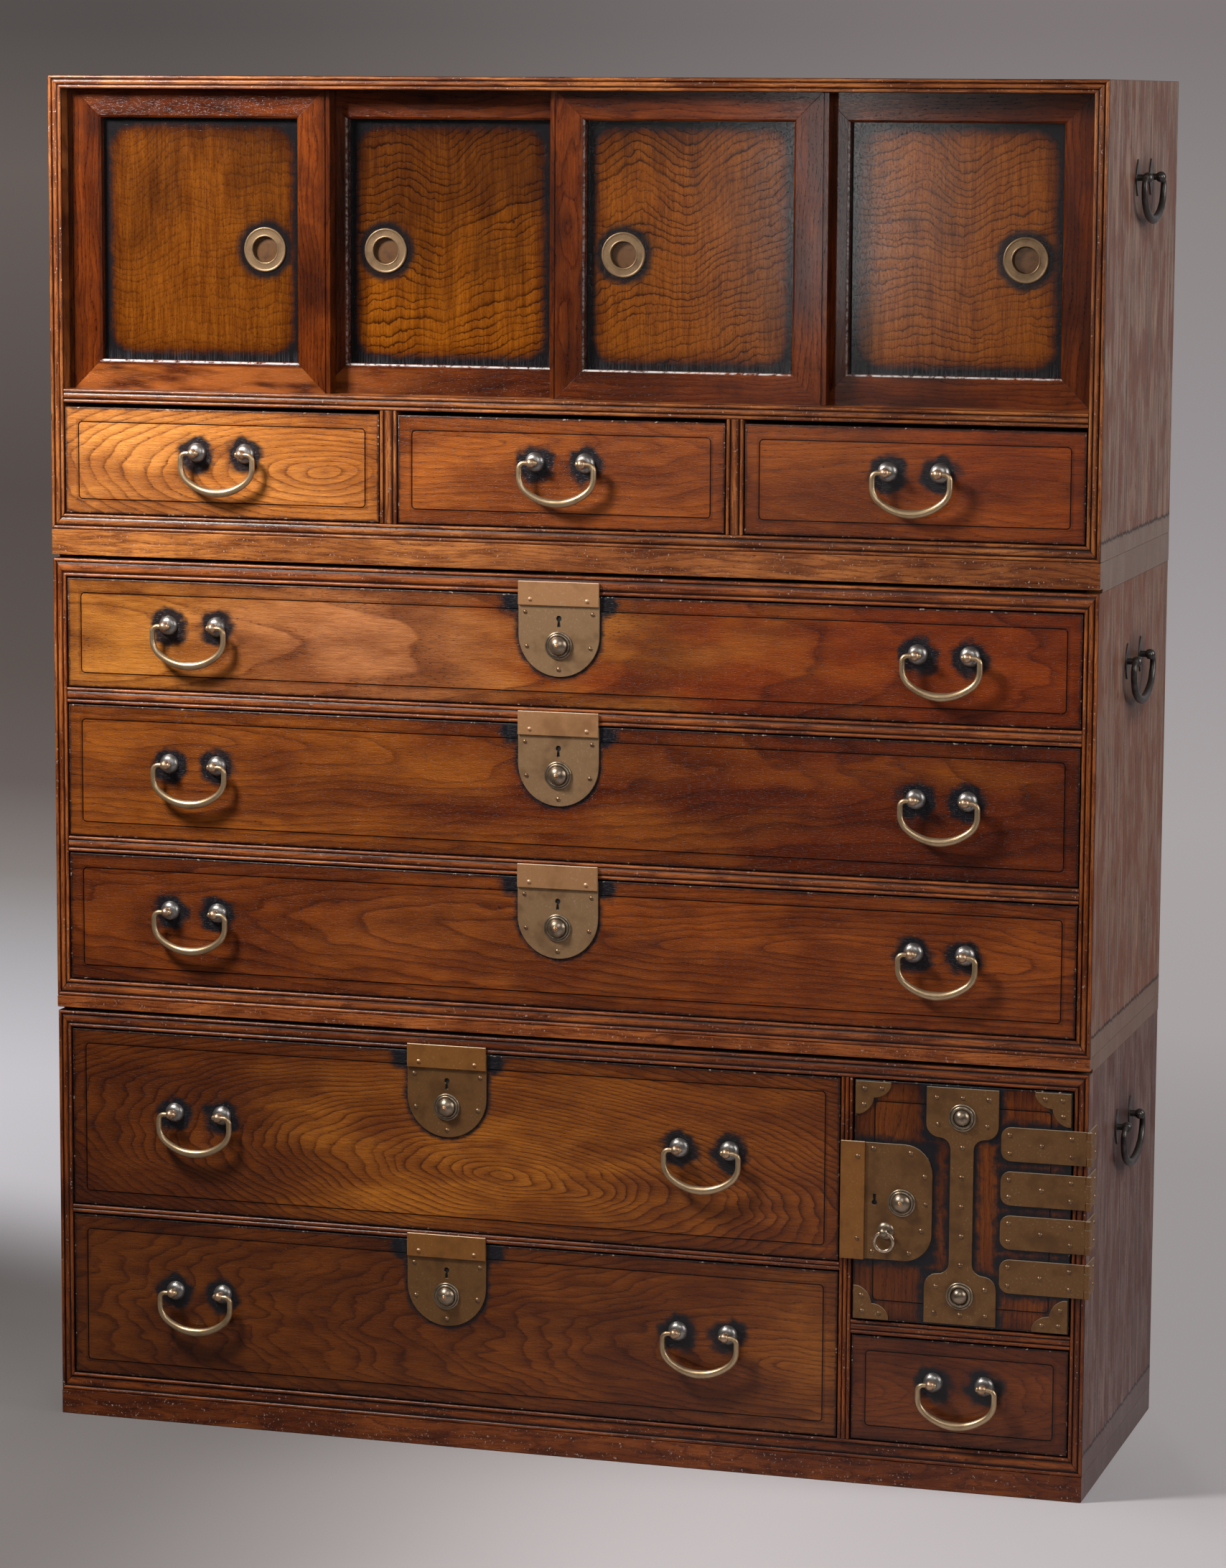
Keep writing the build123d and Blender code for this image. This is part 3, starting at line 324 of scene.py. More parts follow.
def front_wood(name, low, high, look, tones, lines, blots=(), shields=(), plates=(), vertical=False,
               scratch=SCRATCH_INSET, dirt=0.6, bright=None):
    """Lacquered zelkova of a drawer front, with black smoke stain round its iron. look is the growth rings, tones
    are the wood at the left and at the right, lines is how dark the rings are, blots are the stains of round seats,
    shields those of the U-shaped lock plates and plates those of other plates. scratch is the inset of the cut
    line, dirt the grime along the edges and bright a paler patch: its centre, reach, stretch and colour."""
    paint = Paint(name)
    x, y, z = paint.place()
    u, v = (z, x) if vertical else (x, z)
    w = y - low[1]
    seed = look["seed"]
    ring, drift = growth_rings(paint, u, v, w, **look)
    streak, pore = fibres(paint, u, v, w, seed)
    ragged = paint.noise(x / 10.0, y / 10.0, z / 9.0, 3.0, 0.62)
    patch = paint.noise(u / 80.0 + seed, y / 60.0, v / 26.0, 3.0, 0.6)
    glow = paint.noise(x / 150.0 + seed, y / 60.0, z / 60.0 + seed, 2.0, 0.5)
    rightward = ((x - low[0]) / (high[0] - low[0]) + (glow - 0.5) * 1.5).rise(0.1, 0.9)
    body = paint.mix(rightward, *tones)
    if bright is not None:
        cx, cz, reach, stretch, pale = bright
        away = spot_distance(x, z, cx, cz, stretch) + (glow - 0.5) * reach
        body = paint.mix(away.fall(0.1 * reach, reach), body, pale)
    strength = (paint.noise(u / 120.0, v / 45.0, seed + 5.0, 2.0).rise(0.2, 0.6) * 0.7 + 0.3) * lines
    colour, level = figured(paint, ring, streak, pore, drift, body, strength, patch)
    edge = rim(x, z, low, high)
    grime = (edge + (ragged - 0.5) * 22.0).fall(-4.0, 26.0)
    colour = paint.darken(grime * dirt, colour, (0.42, 0.30, 0.24))
    fringe = (edge + (ragged - 0.5) * 4.0).fall(0.9, 3.6)
    colour = paint.darken(fringe * 0.9, colour, (0.12, 0.08, 0.07))
    # painted shade: the sunk cut line round the front is darkened inside
    line = w.rise(0.2, 0.6) * edge.rise(scratch - 4.0, scratch - 2.0) * w.fall(1.2, 1.6)
    colour = paint.darken(line, colour, (0.10, 0.06, 0.05))
    bloom = abs(edge - (scratch + SCRATCH_WIDTH / 2.0)).fall(0.5, 3.0)
    colour = paint.darken(bloom * 0.55, colour, (0.40, 0.30, 0.25))
    wide = paint.noise(x / 19.0, y / 20.0, z / 17.0, 2.0, 0.5)
    marks = [(spot_distance(x, z, cx, cz, stretch) + (ragged - 0.5) * 5.0 + (wide - 0.5) * 22.0)
             .fall(radius * 0.80, radius * 1.25) for cx, cz, radius, stretch in blots]
    for cx, cz, half in shields:
        below = (z - cz).at_most(0.0)
        reach = ((x - cx) * (x - cx) + below * below).sqrt() - half
        marks.append((reach + (ragged - 0.5) * 10.0).fall(0.0, 8.0))
        marks += [(spot_distance(x, z, cx + side * (half + 6.0), high[2] - 9.0, 1.1) + (ragged - 0.5) * 16.0)
                  .fall(10.0, 21.0) for side in (-1, 1)]
    marks += [plate_stain(x, z, plate, ragged, 12.0) for plate in plates]
    stain = marks[0]
    for mark in marks[1:]:
        stain = stain.at_least(mark)
    colour = paint.mix(stain * 0.97, colour, SMOKE)
    wear = paint.noise(x / 4.0, y / 5.0, z / 3.0, 2.0, 0.6)
    chips = wear.rise(0.64, 0.69) * edge.fall(0.9, 2.2)
    colour = paint.mix(chips * 0.8, colour, PALE_NICK)
    inside = w.rise(18.0, 19.5)
    colour = paint.mix(inside, colour, paint.mix(streak * 0.5 + level * 0.5, *BARE_FRONT))
    dull = paint.noise(x / 60.0, y / 60.0, z / 35.0, 3.0, 0.6)
    roughness = dull * 0.16 + 0.20 + fringe * 0.12 + inside * 0.3 + streak * 0.06
    height = level * 0.3 + streak * 0.5 - pore * 0.8 + dull * 1.2
    return paint.finish(colour, roughness, height=height, relief=0.13, Specular_IOR_Level=0.30, Coat_Weight=0.06,
                        Coat_Roughness=0.10)


def worn_side(paint, x, y, z, side, cloud, fleck, seed):
    """Dull wood of an outer side: streaked and cracked, with a step line over the foot and smoke round the bail.
    side holds the half width, the heights of the step and of the bail, and the bare, worn and old tones."""
    _, foot, bail, bare, worn_tone, old_tone = side
    streaked = paint.noise(x / 40.0, y / 5.0, z / 170.0 + seed, 4.0, 0.68)
    old = paint.noise(x / 90.0, y / 30.0, z / 70.0 + seed, 4.0, 0.62)
    fine = paint.noise(x / 9.0, y / 1.6, z / 45.0, 3.0, 0.6)
    crack = paint.noise(x / 60.0, y / 11.0, z / 420.0 + seed, 3.0, 0.5)
    dull = paint.mix(streaked.rise(0.34, 0.62), bare, worn_tone)
    dull = paint.mix(old.rise(0.46, 0.60) * 0.85, dull, old_tone)
    dull = paint.darken(fine.rise(0.50, 0.72) * 0.6, dull, (0.50, 0.43, 0.40))
    dull = paint.darken(abs(streaked - 0.5).fall(0.004, 0.014) * 0.8, dull, (0.32, 0.28, 0.26))
    dull = paint.darken(abs(crack - 0.5).fall(0.003, 0.008) * z.rise(foot, foot + 60.0), dull, (0.22, 0.18, 0.16))
    below_step = z.fall(foot - 1.0, foot)
    dull = paint.mix(below_step * 0.7, dull, (worn_tone[0] * 0.62, worn_tone[1] * 0.76, worn_tone[2] * 0.84))
    step = abs(z - foot + (streaked - 0.5) * 16.0)
    dull = paint.darken(step.fall(0.8, 2.6), dull, (0.16, 0.13, 0.12))
    across, above_bail = (y - 20.0) / 74.0, (z - bail + 24.0) / 46.0
    smoke = (across * across + above_bail * above_bail).sqrt() + (cloud - 0.5) * 1.4
    dull = paint.darken(smoke.fall(0.65, 1.25) * 0.75, dull, (0.30, 0.26, 0.27))
    return paint.mix(fleck.rise(0.64, 0.70) * old.fall(0.40, 0.5), dull, SCUFF)


def frame_wood(name, along, crest, body, side, seed, top=None, reeded=True, painted_sheen_left=False):
    """Red-brown lacquered wood of the carcases, with worn bead tops and the grooves behind the crest darkened as
    painted shade. side is what worn_side takes, top is the height of a bare top, and a sheen of light can be painted
    on the left part of a plain board."""
    paint = Paint(name)
    x, y, z = paint.place()
    u, v = (x, z) if along == "x" else (z, x)
    w = y - crest
    ring, drift = growth_rings(paint, u, v, w, heart=(0.0, 0.0, 90.0), slope=0.02, ring=5.5, sway=26.0, jag=0.5,
                               seed=seed)
    streak, pore = fibres(paint, u, v, w, seed)
    cloud = paint.noise(x / 80.0, y / 80.0, z / 80.0 + seed, 4.0, 0.6)
    long_patch = paint.noise(u / 60.0, v / 9.0, 3.0 + seed, 3.0, 0.62)
    colour, level = figured(paint, ring, streak, pore, drift, body, 0.5, cloud)
    colour = paint.darken(long_patch.rise(0.44, 0.62) * 0.8, colour, (0.42, 0.32, 0.28))
    fleck = paint.noise(x / 2.6, y / 2.6, z / 2.6, 2.0, 0.7)
    if reeded:
        # painted shade: the reeding's grooves are darkened by their depth behind the crest
        groove = w.rise(0.4, 1.2) * w.fall(2.2, 3.2)
        crest_worn = w.fall(0.05, 0.5) * long_patch.fall(0.38, 0.60)
        colour = paint.darken(groove, colour, (0.17, 0.12, 0.10))
        colour = paint.mix(crest_worn * 0.5, colour, paint.lighten(colour, (1.25, 1.35, 1.4)))
    elif painted_sheen_left:
        # painted sheen: the left part of the board is made paler, as a highlight of the light from the left
        colour = paint.mix(x.fall(-500.0, 100.0), colour, paint.lighten(colour, (1.45, 1.6, 1.4)))
    chips = fleck.rise(0.64, 0.70) * w.fall(0.4, 1.2) * long_patch.rise(0.42, 0.58)
    colour = paint.mix(chips * 0.9, colour, BEAD_NICK)
    outer = abs(x).rise(side[0] - 0.9, side[0] - 0.3) * w.rise(1.5, 4.0)
    colour = paint.mix(outer, colour, worn_side(paint, x, y, z, side, cloud, fleck, seed))
    roughness = cloud * 0.18 + 0.27 + outer * 0.14
    if top is not None:
        above = z.rise(top - 0.7, top - 0.2) * w.rise(1.5, 4.0)
        bare_top = paint.mix(streak * 0.6 + level * 0.4, *BARE_TOP)
        bare_top = paint.darken(long_patch.rise(0.42, 0.60) * 0.6, bare_top, (0.60, 0.54, 0.50))
        colour = paint.mix(above, colour, bare_top)
        roughness = roughness + above * 0.2
    rear = y.rise(BACK - 0.8, BACK - 0.2)
    colour = paint.mix(rear, colour, paint.mix(streak * 0.6 + level * 0.4, *BARE_REAR))
    roughness = roughness + rear * 0.25
    height = level * 0.15 + streak * 0.6 - pore * 0.6 + fleck * 0.3 + cloud
    return paint.finish(colour, roughness, height=height, relief=0.14, Specular_IOR_Level=0.28, Coat_Weight=0.05,
                        Coat_Roughness=0.12)


def door_frame_wood(name, along, seed, arrises):
    """Darker polished wood of the sliding doors' frames. arrises are the places of the inner edges where a
    highlight is painted.
    """
    paint = Paint(name)
    x, y, z = paint.place()
    u, v = (x, z) if along == "x" else (z, x)
    ring, drift = growth_rings(paint, u, v, y, heart=(0.0, 0.0, 120.0), slope=0.03, ring=6.5, sway=30.0, jag=0.5,
                               seed=seed)
    streak, pore = fibres(paint, u, v, y, seed)
    cloud = paint.noise(x / 55.0, y / 60.0, z / 55.0 + seed, 4.0, 0.65)
    broad = paint.noise(u / 160.0, y / 60.0, v / 40.0 + seed, 2.0, 0.5)
    body = paint.mix(broad.rise(0.36, 0.64), *DOOR_LACQUER)
    colour = figured(paint, ring, streak, pore, drift, body, 0.6, cloud)[0]
    colour = paint.darken(cloud.rise(0.42, 0.66) * 0.8, colour, (0.36, 0.28, 0.24))
    dust = paint.noise(x / 6.0, y / 6.0, z / 6.0, 4.0, 0.7)
    colour = paint.mix(dust.rise(0.60, 0.8) * 0.10, colour, DOOR_DUST)
    if along == "x":
        arris_highlight, arris_highlight_tone = dust.rise(0.36, 0.56), (0.52, 0.49, 0.48)
    else:
        arris_highlight, arris_highlight_tone = dust.rise(0.42, 0.62) * 0.7, (0.30, 0.25, 0.23)
    # painted highlight: a pale line along each inner arris, where the light catches the edge
    for arris in arrises:
        colour = paint.mix(abs(v - arris).fall(0.4, 1.3) * arris_highlight, colour, arris_highlight_tone)
    if along == "x":
        # worn lacquer with painted sheen: the bottom rails turn orange towards the left, where the light is
        # strongest
        low_rail = z.fall(arrises[0] - 6.0, arrises[0] - 3.0) * x.fall(-420.0, -60.0)
        worn = paint.noise(x / 70.0, y / 60.0, z / 16.0 + seed, 3.0, 0.5).rise(0.34, 0.60)
        colour = paint.mix(low_rail * worn * 0.85, colour, RUBBED_AND_LIT_RAIL)
    height = streak * 0.5 - pore * 0.6 + dust * 0.3 + cloud
    return paint.finish(colour, cloud * 0.16 + 0.15, height=height, relief=0.10, Specular_IOR_Level=0.22,
                        Coat_Weight=0.08, Coat_Roughness=0.12)


def door_panel_wood(name, low, high, pull, seed, hills, lines, tone, top_shade):
    """Figured zelkova of a door panel: wavy grain that rises and dips across it, stained black at its edges and
    round the pull. hills are the places of the crest and of the dip and how much the grain rises to the right, lines
    is how dark the rings are and top_shade how much darker the panel is painted towards its top, as painted shade."""
    paint = Paint(name)
    x, y, z = paint.place()
    crest_x, dip_x, rise = hills
    crest = 1.0 / (((x - crest_x) / 34.0) ** 2.0 + 1.0)
    dip = 1.0 / (((x - dip_x) / 34.0) ** 2.0 + 1.0)
    height_part = (z - low[2]) / (high[2] - low[2])
    wave = crest * 22.0 * height_part - dip * 46.0 * (height_part * 0.9 + 0.1) + (x - dip_x) * rise
    drift = paint.noise(x / 80.0, y / 60.0, z / 90.0 + seed, 2.0) - 0.5
    small = paint.noise(x / 15.0, y / 17.0, z / 26.0 + seed, 2.0, 0.6) - 0.5
    tiny = paint.noise(x / 3.6, y / 4.0, z / 5.0 + seed, 2.0, 0.6) - 0.5
    rings = (z - wave + drift * 40.0 + small * 12.0 + tiny * 3.0) / 10.0
    spread = paint.noise(rings / 2.1, seed, 1.0, 1.0)
    ring = (rings + spread * 1.5).fraction()
    level = ring.ramp((0.0, 0.0), (0.08, 0.14), (0.17, 0.62), (0.34, 0.85), (0.7, 1.0), (0.96, 0.95), (1.0, 0.05))
    silk = paint.noise(x / 1.5, y / 1.6, z / 30.0 + seed, 3.0, 0.6)
    comb = paint.noise(x / 5.0, y / 5.0, z / 60.0 + seed, 2.0, 0.5)
    speck = paint.noise(x / 1.8, y / 1.8, z / 3.0, 2.0, 0.6).rise(0.54, 0.66)
    patch = paint.noise(x / 70.0, y / 40.0, z / 60.0 + seed * 3.0, 2.0, 0.5)
    band = paint.noise(x / 21.0, y / 20.0, z / 160.0 + seed, 2.0, 0.5)
    # painted shade: the body is darker towards the top of the panel, by top_shade
    body = paint.mix((patch * 0.9 + 0.45 - height_part * top_shade + (band - 0.5) * 0.6).rise(0.10, 0.90), tone,
                     paint.lighten(tone, (2.8, 3.1, 2.0)))
    body = paint.mix(silk.rise(0.34, 0.66), paint.darken(1.0, body, (0.70, 0.60, 0.50)), body)
    body = paint.darken(comb.rise(0.44, 0.66) * 0.6, body, (0.62, 0.54, 0.48))
    faint = paint.noise(x / 60.0, y / 70.0, z / 45.0 + seed, 1.0).rise(0.25, 0.6) * 0.6 + 0.4
    colour = paint.darken((1.0 - level) * faint * lines, body, (0.10, 0.05, 0.03))
    colour = paint.darken(speck * 0.6, colour, (0.42, 0.30, 0.22))
    ragged = paint.noise(x / 13.0, y / 15.0, z / 13.0 + seed, 3.0, 0.65)
    inset_x = (x - low[0]).at_most(high[0] - x)
    inset_z = (z - low[2]).at_most(high[2] - z)
    border = 34.0
    corner_x, corner_z = (border - inset_x).at_least(0.0), (border - inset_z).at_least(0.0)
    edge = border - (corner_x * corner_x + corner_z * corner_z).sqrt() + (ragged - 0.5) * 11.0
    colour = paint.darken(edge.fall(0.0, 30.0), colour, (0.34, 0.20, 0.12))
    black = edge.fall(4.0, 15.0).at_least((spot_distance(x, z, *pull) + (ragged - 0.5) * 10.0).fall(28.0, 38.0))
    colour = paint.mix(black * 0.95, colour, PANEL_SMOKE)
    # dust and painted reflection: a faint grey film along the bottom edge of the panel
    dust_and_sheen = (z - low[2]).fall(1.0, 16.0) * silk.rise(0.42, 0.70)
    colour = paint.mix(dust_and_sheen * 0.05, colour, PANEL_DUST_AND_SHEEN)
    plain = (y - low[1]).rise(3.0, 4.0)
    colour = paint.mix(plain, colour, paint.mix(silk.rise(0.3, 0.7), *BARE_PANEL))
    roughness = ragged * 0.10 + 0.12 + plain * 0.30 + silk * 0.06
    height = level * 0.35 + silk * 0.5 - speck * 0.6 + patch * 2.0
    return paint.finish(colour, roughness, height=height, relief=0.08, Specular_IOR_Level=0.26, Coat_Weight=0.06,
                        Coat_Roughness=0.12)


def plain_wood(name, along, body):
    """Unfinished softwood of drawer sides, bottoms, dust boards and backs."""
    paint = Paint(name)
    x, y, z = paint.place()
    u, v, w = {"x": (x, z, y), "y": (y, x, z), "z": (z, x, y)}[along]
    ring, drift = growth_rings(paint, u, v, w, heart=(0.0, 0.0, 40.0), slope=0.03, ring=6.0, sway=20.0, jag=0.5,
                               seed=0.0)
    streak, pore = fibres(paint, u, v, w, 0.0)
    grime = paint.noise(x / 70.0, y / 70.0, z / 70.0, 4.0, 0.65)
    colour, level = figured(paint, ring, streak, pore * 0.3, drift, body, 0.6, grime)
    colour = paint.darken(grime.rise(0.45, 0.75) * 0.5, colour, (0.6, 0.55, 0.5))
    return paint.finish(colour, grime * 0.2 + 0.55, height=streak + level * 0.4, relief=0.2)


# ================================================================ metal
def worn_metal(name, base, deep, bright, metallic, rough, mottling=22.0, grain=0.35, lit_and_rubbed=0.0, relief=0.07):
    """Old metal: a patchy patina of a base and a deep tone, worn bright in spots. mottling is the size of the
    patches, grain the share of fine dark specks and lit_and_rubbed a painted highlight on faces that point up, as if
    lit from above, standing also for wear on those edges."""
    paint = Paint(name)
    x, y, z = paint.place()
    patch = paint.noise(x / mottling, y / mottling, z / mottling, 3.0, 0.55)
    fine = paint.noise(x / 2.4, y / 2.4, z / 2.4, 3.0, 0.7)
    colour = paint.mix(patch.rise(0.46, 0.72) * 0.8, base, deep)
    colour = paint.mix(fine.rise(0.5, 0.8) * grain, colour, deep)
    colour = paint.mix((fine.fall(0.25, 0.45) * patch.fall(0.35, 0.6)) * 0.35, colour, bright)
    roughness = patch * 0.14 + fine * 0.12 + (rough - 0.13)
    if lit_and_rubbed:
        # painted highlight: faces that point up are made paler, as if lit from above; it stands also for wear on top
        # edges
        facing = paint.node("ShaderNodeNewGeometry", output=3)
        upward = paint.node("ShaderNodeSeparateXYZ", inputs={0: facing}, output=2)
        colour = paint.mix(upward.rise(0.25, 0.7) * (fine * 0.6 + 0.5) * lit_and_rubbed, colour, bright)
    return paint.finish(colour, roughness, metallic, height=fine * 0.5 + patch, relief=relief)


PLATE = worn_metal("bronzed_iron_plate", (0.285, 0.165, 0.080), (0.170, 0.090, 0.040), (0.62, 0.52, 0.42),
                   metallic=0.38, rough=0.44, mottling=24.0, grain=0.20, lit_and_rubbed=1.0, relief=0.035)
COVER = worn_metal("bronzed_iron_cover", (0.400, 0.200, 0.086), (0.270, 0.126, 0.050), (0.66, 0.52, 0.40),
                   metallic=0.36, rough=0.44, mottling=24.0, grain=0.20, lit_and_rubbed=1.0, relief=0.035)
DIM_PLATE = worn_metal("dim_iron_plate", (0.168, 0.076, 0.022), (0.092, 0.040, 0.012), (0.56, 0.46, 0.34),
                       metallic=0.38, rough=0.44, mottling=24.0, grain=0.25, lit_and_rubbed=1.0, relief=0.035)
DIM_COVER = worn_metal("dim_iron_cover", (0.265, 0.104, 0.021), (0.180, 0.068, 0.014), (0.62, 0.48, 0.33),
                       metallic=0.36, rough=0.44, mottling=24.0, grain=0.20, lit_and_rubbed=1.0, relief=0.035)
RIVET = worn_metal("rubbed_rivet", (0.215, 0.125, 0.066), (0.095, 0.052, 0.027), (0.46, 0.34, 0.24),
                   metallic=0.74, rough=0.33, mottling=6.0, relief=0.02)
PEWTER = worn_metal("pewter_ring", (0.29, 0.225, 0.160), (0.12, 0.085, 0.056), (0.56, 0.48, 0.38),
                    metallic=0.86, rough=0.34, mottling=9.0, grain=0.25, relief=0.02)
NIPPLE = worn_metal("copper_tip", (0.56, 0.33, 0.18), (0.24, 0.125, 0.060), (0.74, 0.52, 0.35),
                    metallic=0.86, rough=0.36, mottling=5.0, grain=0.20, relief=0.02)
BAIL = worn_metal("worn_brass_bail", (0.46, 0.325, 0.190), (0.30, 0.195, 0.105), (0.66, 0.53, 0.37),
                  metallic=0.80, rough=0.36, mottling=20.0, grain=0.10, relief=0.012)
EYE = worn_metal("rubbed_eye_head", (0.50, 0.33, 0.21), (0.26, 0.160, 0.095), (0.70, 0.54, 0.40),
                 metallic=0.85, rough=0.40, mottling=9.0, grain=0.20, relief=0.01)
SEAT = worn_metal("smoked_iron_seat", (0.30, 0.285, 0.27), (0.13, 0.120, 0.115), (0.46, 0.45, 0.43),
                  metallic=0.92, rough=0.37, mottling=12.0, grain=0.20, relief=0.01)
IRON = worn_metal("black_iron_bail", (0.060, 0.052, 0.048), (0.024, 0.021, 0.020), (0.20, 0.18, 0.16),
                  metallic=0.75, rough=0.36, mottling=9.0, grain=0.35, lit_and_rubbed=0.3)
PULL = worn_metal("dull_brass_pull", (0.195, 0.120, 0.060), (0.112, 0.064, 0.032), (0.46, 0.36, 0.24),
                  metallic=0.55, rough=0.40, mottling=12.0, relief=0.03)
PULL_FLOOR = worn_metal("brown_pull_floor", (0.105, 0.045, 0.015), (0.050, 0.020, 0.007), (0.22, 0.13, 0.06),
                        metallic=0.25, rough=0.36, mottling=9.0, relief=0.03)
RING = worn_metal("small_brass_ring", (0.52, 0.40, 0.29), (0.24, 0.165, 0.11), (0.76, 0.64, 0.50),
                  metallic=0.90, rough=0.27, mottling=9.0, grain=0.15)
# painted shade: a near-black piece that fills the keyholes
KEYHOLE_SHADE = worn_metal("keyhole_painted_shade", (0.004, 0.004, 0.004), (0.003, 0.003, 0.003), (0.006, 0.006, 0.006),
                       metallic=0.0, rough=0.80)

INSIDE_X = plain_wood("inside_wood_level", "x", (0.290, 0.185, 0.100))
INSIDE_Y = plain_wood("inside_wood_deep", "y", (0.300, 0.195, 0.108))
BACK_WOOD = plain_wood("back_board_wood", "x", (0.135, 0.082, 0.050))


# ================================================================ modelling helpers
class Pen:
    """Draws an outline of straight runs and arcs in the XY plane of a bmesh, from a first point."""

    def __init__(self, bm, x, y):
        self.bm = bm
        self.last = bmesh.ops.create_vert(bm, co=(x, y, 0.0))["vert"][0]
        self.verts = [self.last]
        self.edges = []

    def line(self, x, y):
        made = bmesh.ops.extrude_vert_indiv(self.bm, verts=[self.last])
        self.last = made["verts"][0]
        self.last.co = (x, y, 0.0)
        self.verts.append(self.last)
        self.edges += made["edges"]
        return self

    def arc(self, cx, cy, turn, steps):
        """An arc about a centre, turning by so many degrees."""
        before = set(self.bm.verts), set(self.bm.edges)
        made = bmesh.ops.spin(self.bm, geom=[self.last], cent=(cx, cy, 0.0), axis=(0.0, 0.0, 1.0),
                              angle=math.radians(turn), steps=steps)
        self.verts += [vert for vert in self.bm.verts if vert not in before[0]]
        self.edges += [edge for edge in self.bm.edges if edge not in before[1]]
        self.last = [item for item in made["geom_last"] if isinstance(item, bmesh.types.BMVert)][0]
        return self

    def bow(self, x, y, middle_x, middle_y, steps=8):
        """An arc to (x, y) through a middle point."""
        ax, ay = self.last.co.x, self.last.co.y
        d = 2.0 * (ax * (middle_y - y) + middle_x * (y - ay) + x * (ay - middle_y))
        a2, m2, e2 = ax * ax + ay * ay, middle_x ** 2 + middle_y ** 2, x * x + y * y
        cx = (a2 * (middle_y - y) + m2 * (y - ay) + e2 * (ay - middle_y)) / d
        cy = (a2 * (x - middle_x) + m2 * (ax - x) + e2 * (middle_x - ax)) / d
        start, end = math.atan2(ay - cy, ax - cx), math.atan2(y - cy, x - cx)
        clockwise = (middle_x - ax) * (y - ay) - (middle_y - ay) * (x - ax) < 0
        turn = math.degrees(end - start) % 360.0
        return self.arc(cx, cy, turn - 360.0 if clockwise else turn, steps)

    def close(self):
        """Joins the ends and fills the outline with one face."""
        self.edges.append(self.bm.edges.new((self.last, self.verts[0])))
        return bmesh.ops.contextual_create(self.bm, geom=self.edges)["faces"][0]

    def thick(self, depth):
        """Fills the outline and carries it along Z."""
        return carry(self.bm, self.close(), (0.0, 0.0, depth))


def carry(bm, face, step):
    """Extrudes a face and moves its copy. Returns every vertex of the solid."""
    start = list(face.verts)
    made = bmesh.ops.extrude_face_region(bm, geom=[face])
    moved = [item for item in made["geom"] if isinstance(item, bmesh.types.BMVert)]
    bmesh.ops.translate(bm, vec=step, verts=moved)
    return start + moved


def put(bm, verts, matrix):
    """Moves or turns part of a mesh."""
    bmesh.ops.transform(bm, matrix=matrix, verts=verts)


def turned(bm, pen, matrix, steps=32):
    """Turns an open profile round the Y axis, with radius along X, and puts it in place."""
    before = set(bm.verts) - set(pen.verts)
    bmesh.ops.spin(bm, geom=pen.verts + pen.edges, cent=(0, 0, 0), axis=(0, 1, 0), angle=2 * math.pi,
                   steps=steps, use_merge=True)
    made = [vert for vert in bm.verts if vert not in before]
    bmesh.ops.remove_doubles(bm, verts=made, dist=0.0005)
    made = [vert for vert in bm.verts if vert not in before]
    put(bm, made, matrix)


def flat_front(y):
    """Stands an outline drawn in XY up as a front plate whose back is at y."""
    return Matrix(((1, 0, 0, 0), (0, 0, -1, y), (0, 1, 0, 0), (0, 0, 0, 1)))


def knob_at(x, y, z):
    """Puts a turned piece on a front, standing out along -Y."""
    return Matrix.Translation((x, y, z)) @ Matrix.Rotation(math.pi, 4, "X")


def dome(bm, radius, height, matrix, steps, rings):
    """A low round head."""
    ball = (radius ** 2 + height ** 2) / (2.0 * height)
    swing = math.degrees(math.acos((ball - height) / ball))
    pen = Pen(bm, radius, 0.0).arc(0.0, height - ball, swing, rings)
    base = Pen(bm, 0.0, 0.0).line(radius, 0.0)
    pen.verts += base.verts
    pen.edges += base.edges
    turned(bm, pen, matrix, steps)


def rivets(name, spots, y, body, material=RIVET, matrix=Matrix()):
    """Small hammered heads, no two quite alike."""
    bm = bmesh.new()
    for count, (x, z) in enumerate(spots):
        size = 2.7 + 0.25 * math.sin(count * 2.1 + x)
        place = knob_at(x + 0.3 * math.sin(count * 1.7), y, z + 0.3 * math.cos(count * 2.9))
        dome(bm, size, 1.6, matrix @ place, steps=14, rings=4)
    piece(name, bm, body, material)


def soften(bm, width, segments=2, angle=38.0, verts=None):
    """Rounds the convex edges that are sharper than an angle."""
    bmesh.ops.recalc_face_normals(bm, faces=bm.faces)
    chosen = [edge for edge in bm.edges if len(edge.link_faces) == 2 and edge.is_convex
              and edge.calc_face_angle() > math.radians(angle)
              and (verts is None or (edge.verts[0] in verts and edge.verts[1] in verts))]
    bmesh.ops.bevel(bm, geom=chosen, offset=width, offset_type="OFFSET", segments=segments, profile=0.5,
                    affect="EDGES", material=-1, clamp_overlap=True)


def cut(bm, point, normal):
    """Cuts off what lies on the side that the normal points to, and closes the cut."""
    made = bmesh.ops.bisect_plane(bm, geom=bm.verts[:] + bm.edges[:] + bm.faces[:], dist=0.0001, plane_co=point,
                                  plane_no=normal, clear_outer=True)
    edges = [item for item in made["geom_cut"] if isinstance(item, bmesh.types.BMEdge)]
    bmesh.ops.contextual_create(bm, geom=edges)


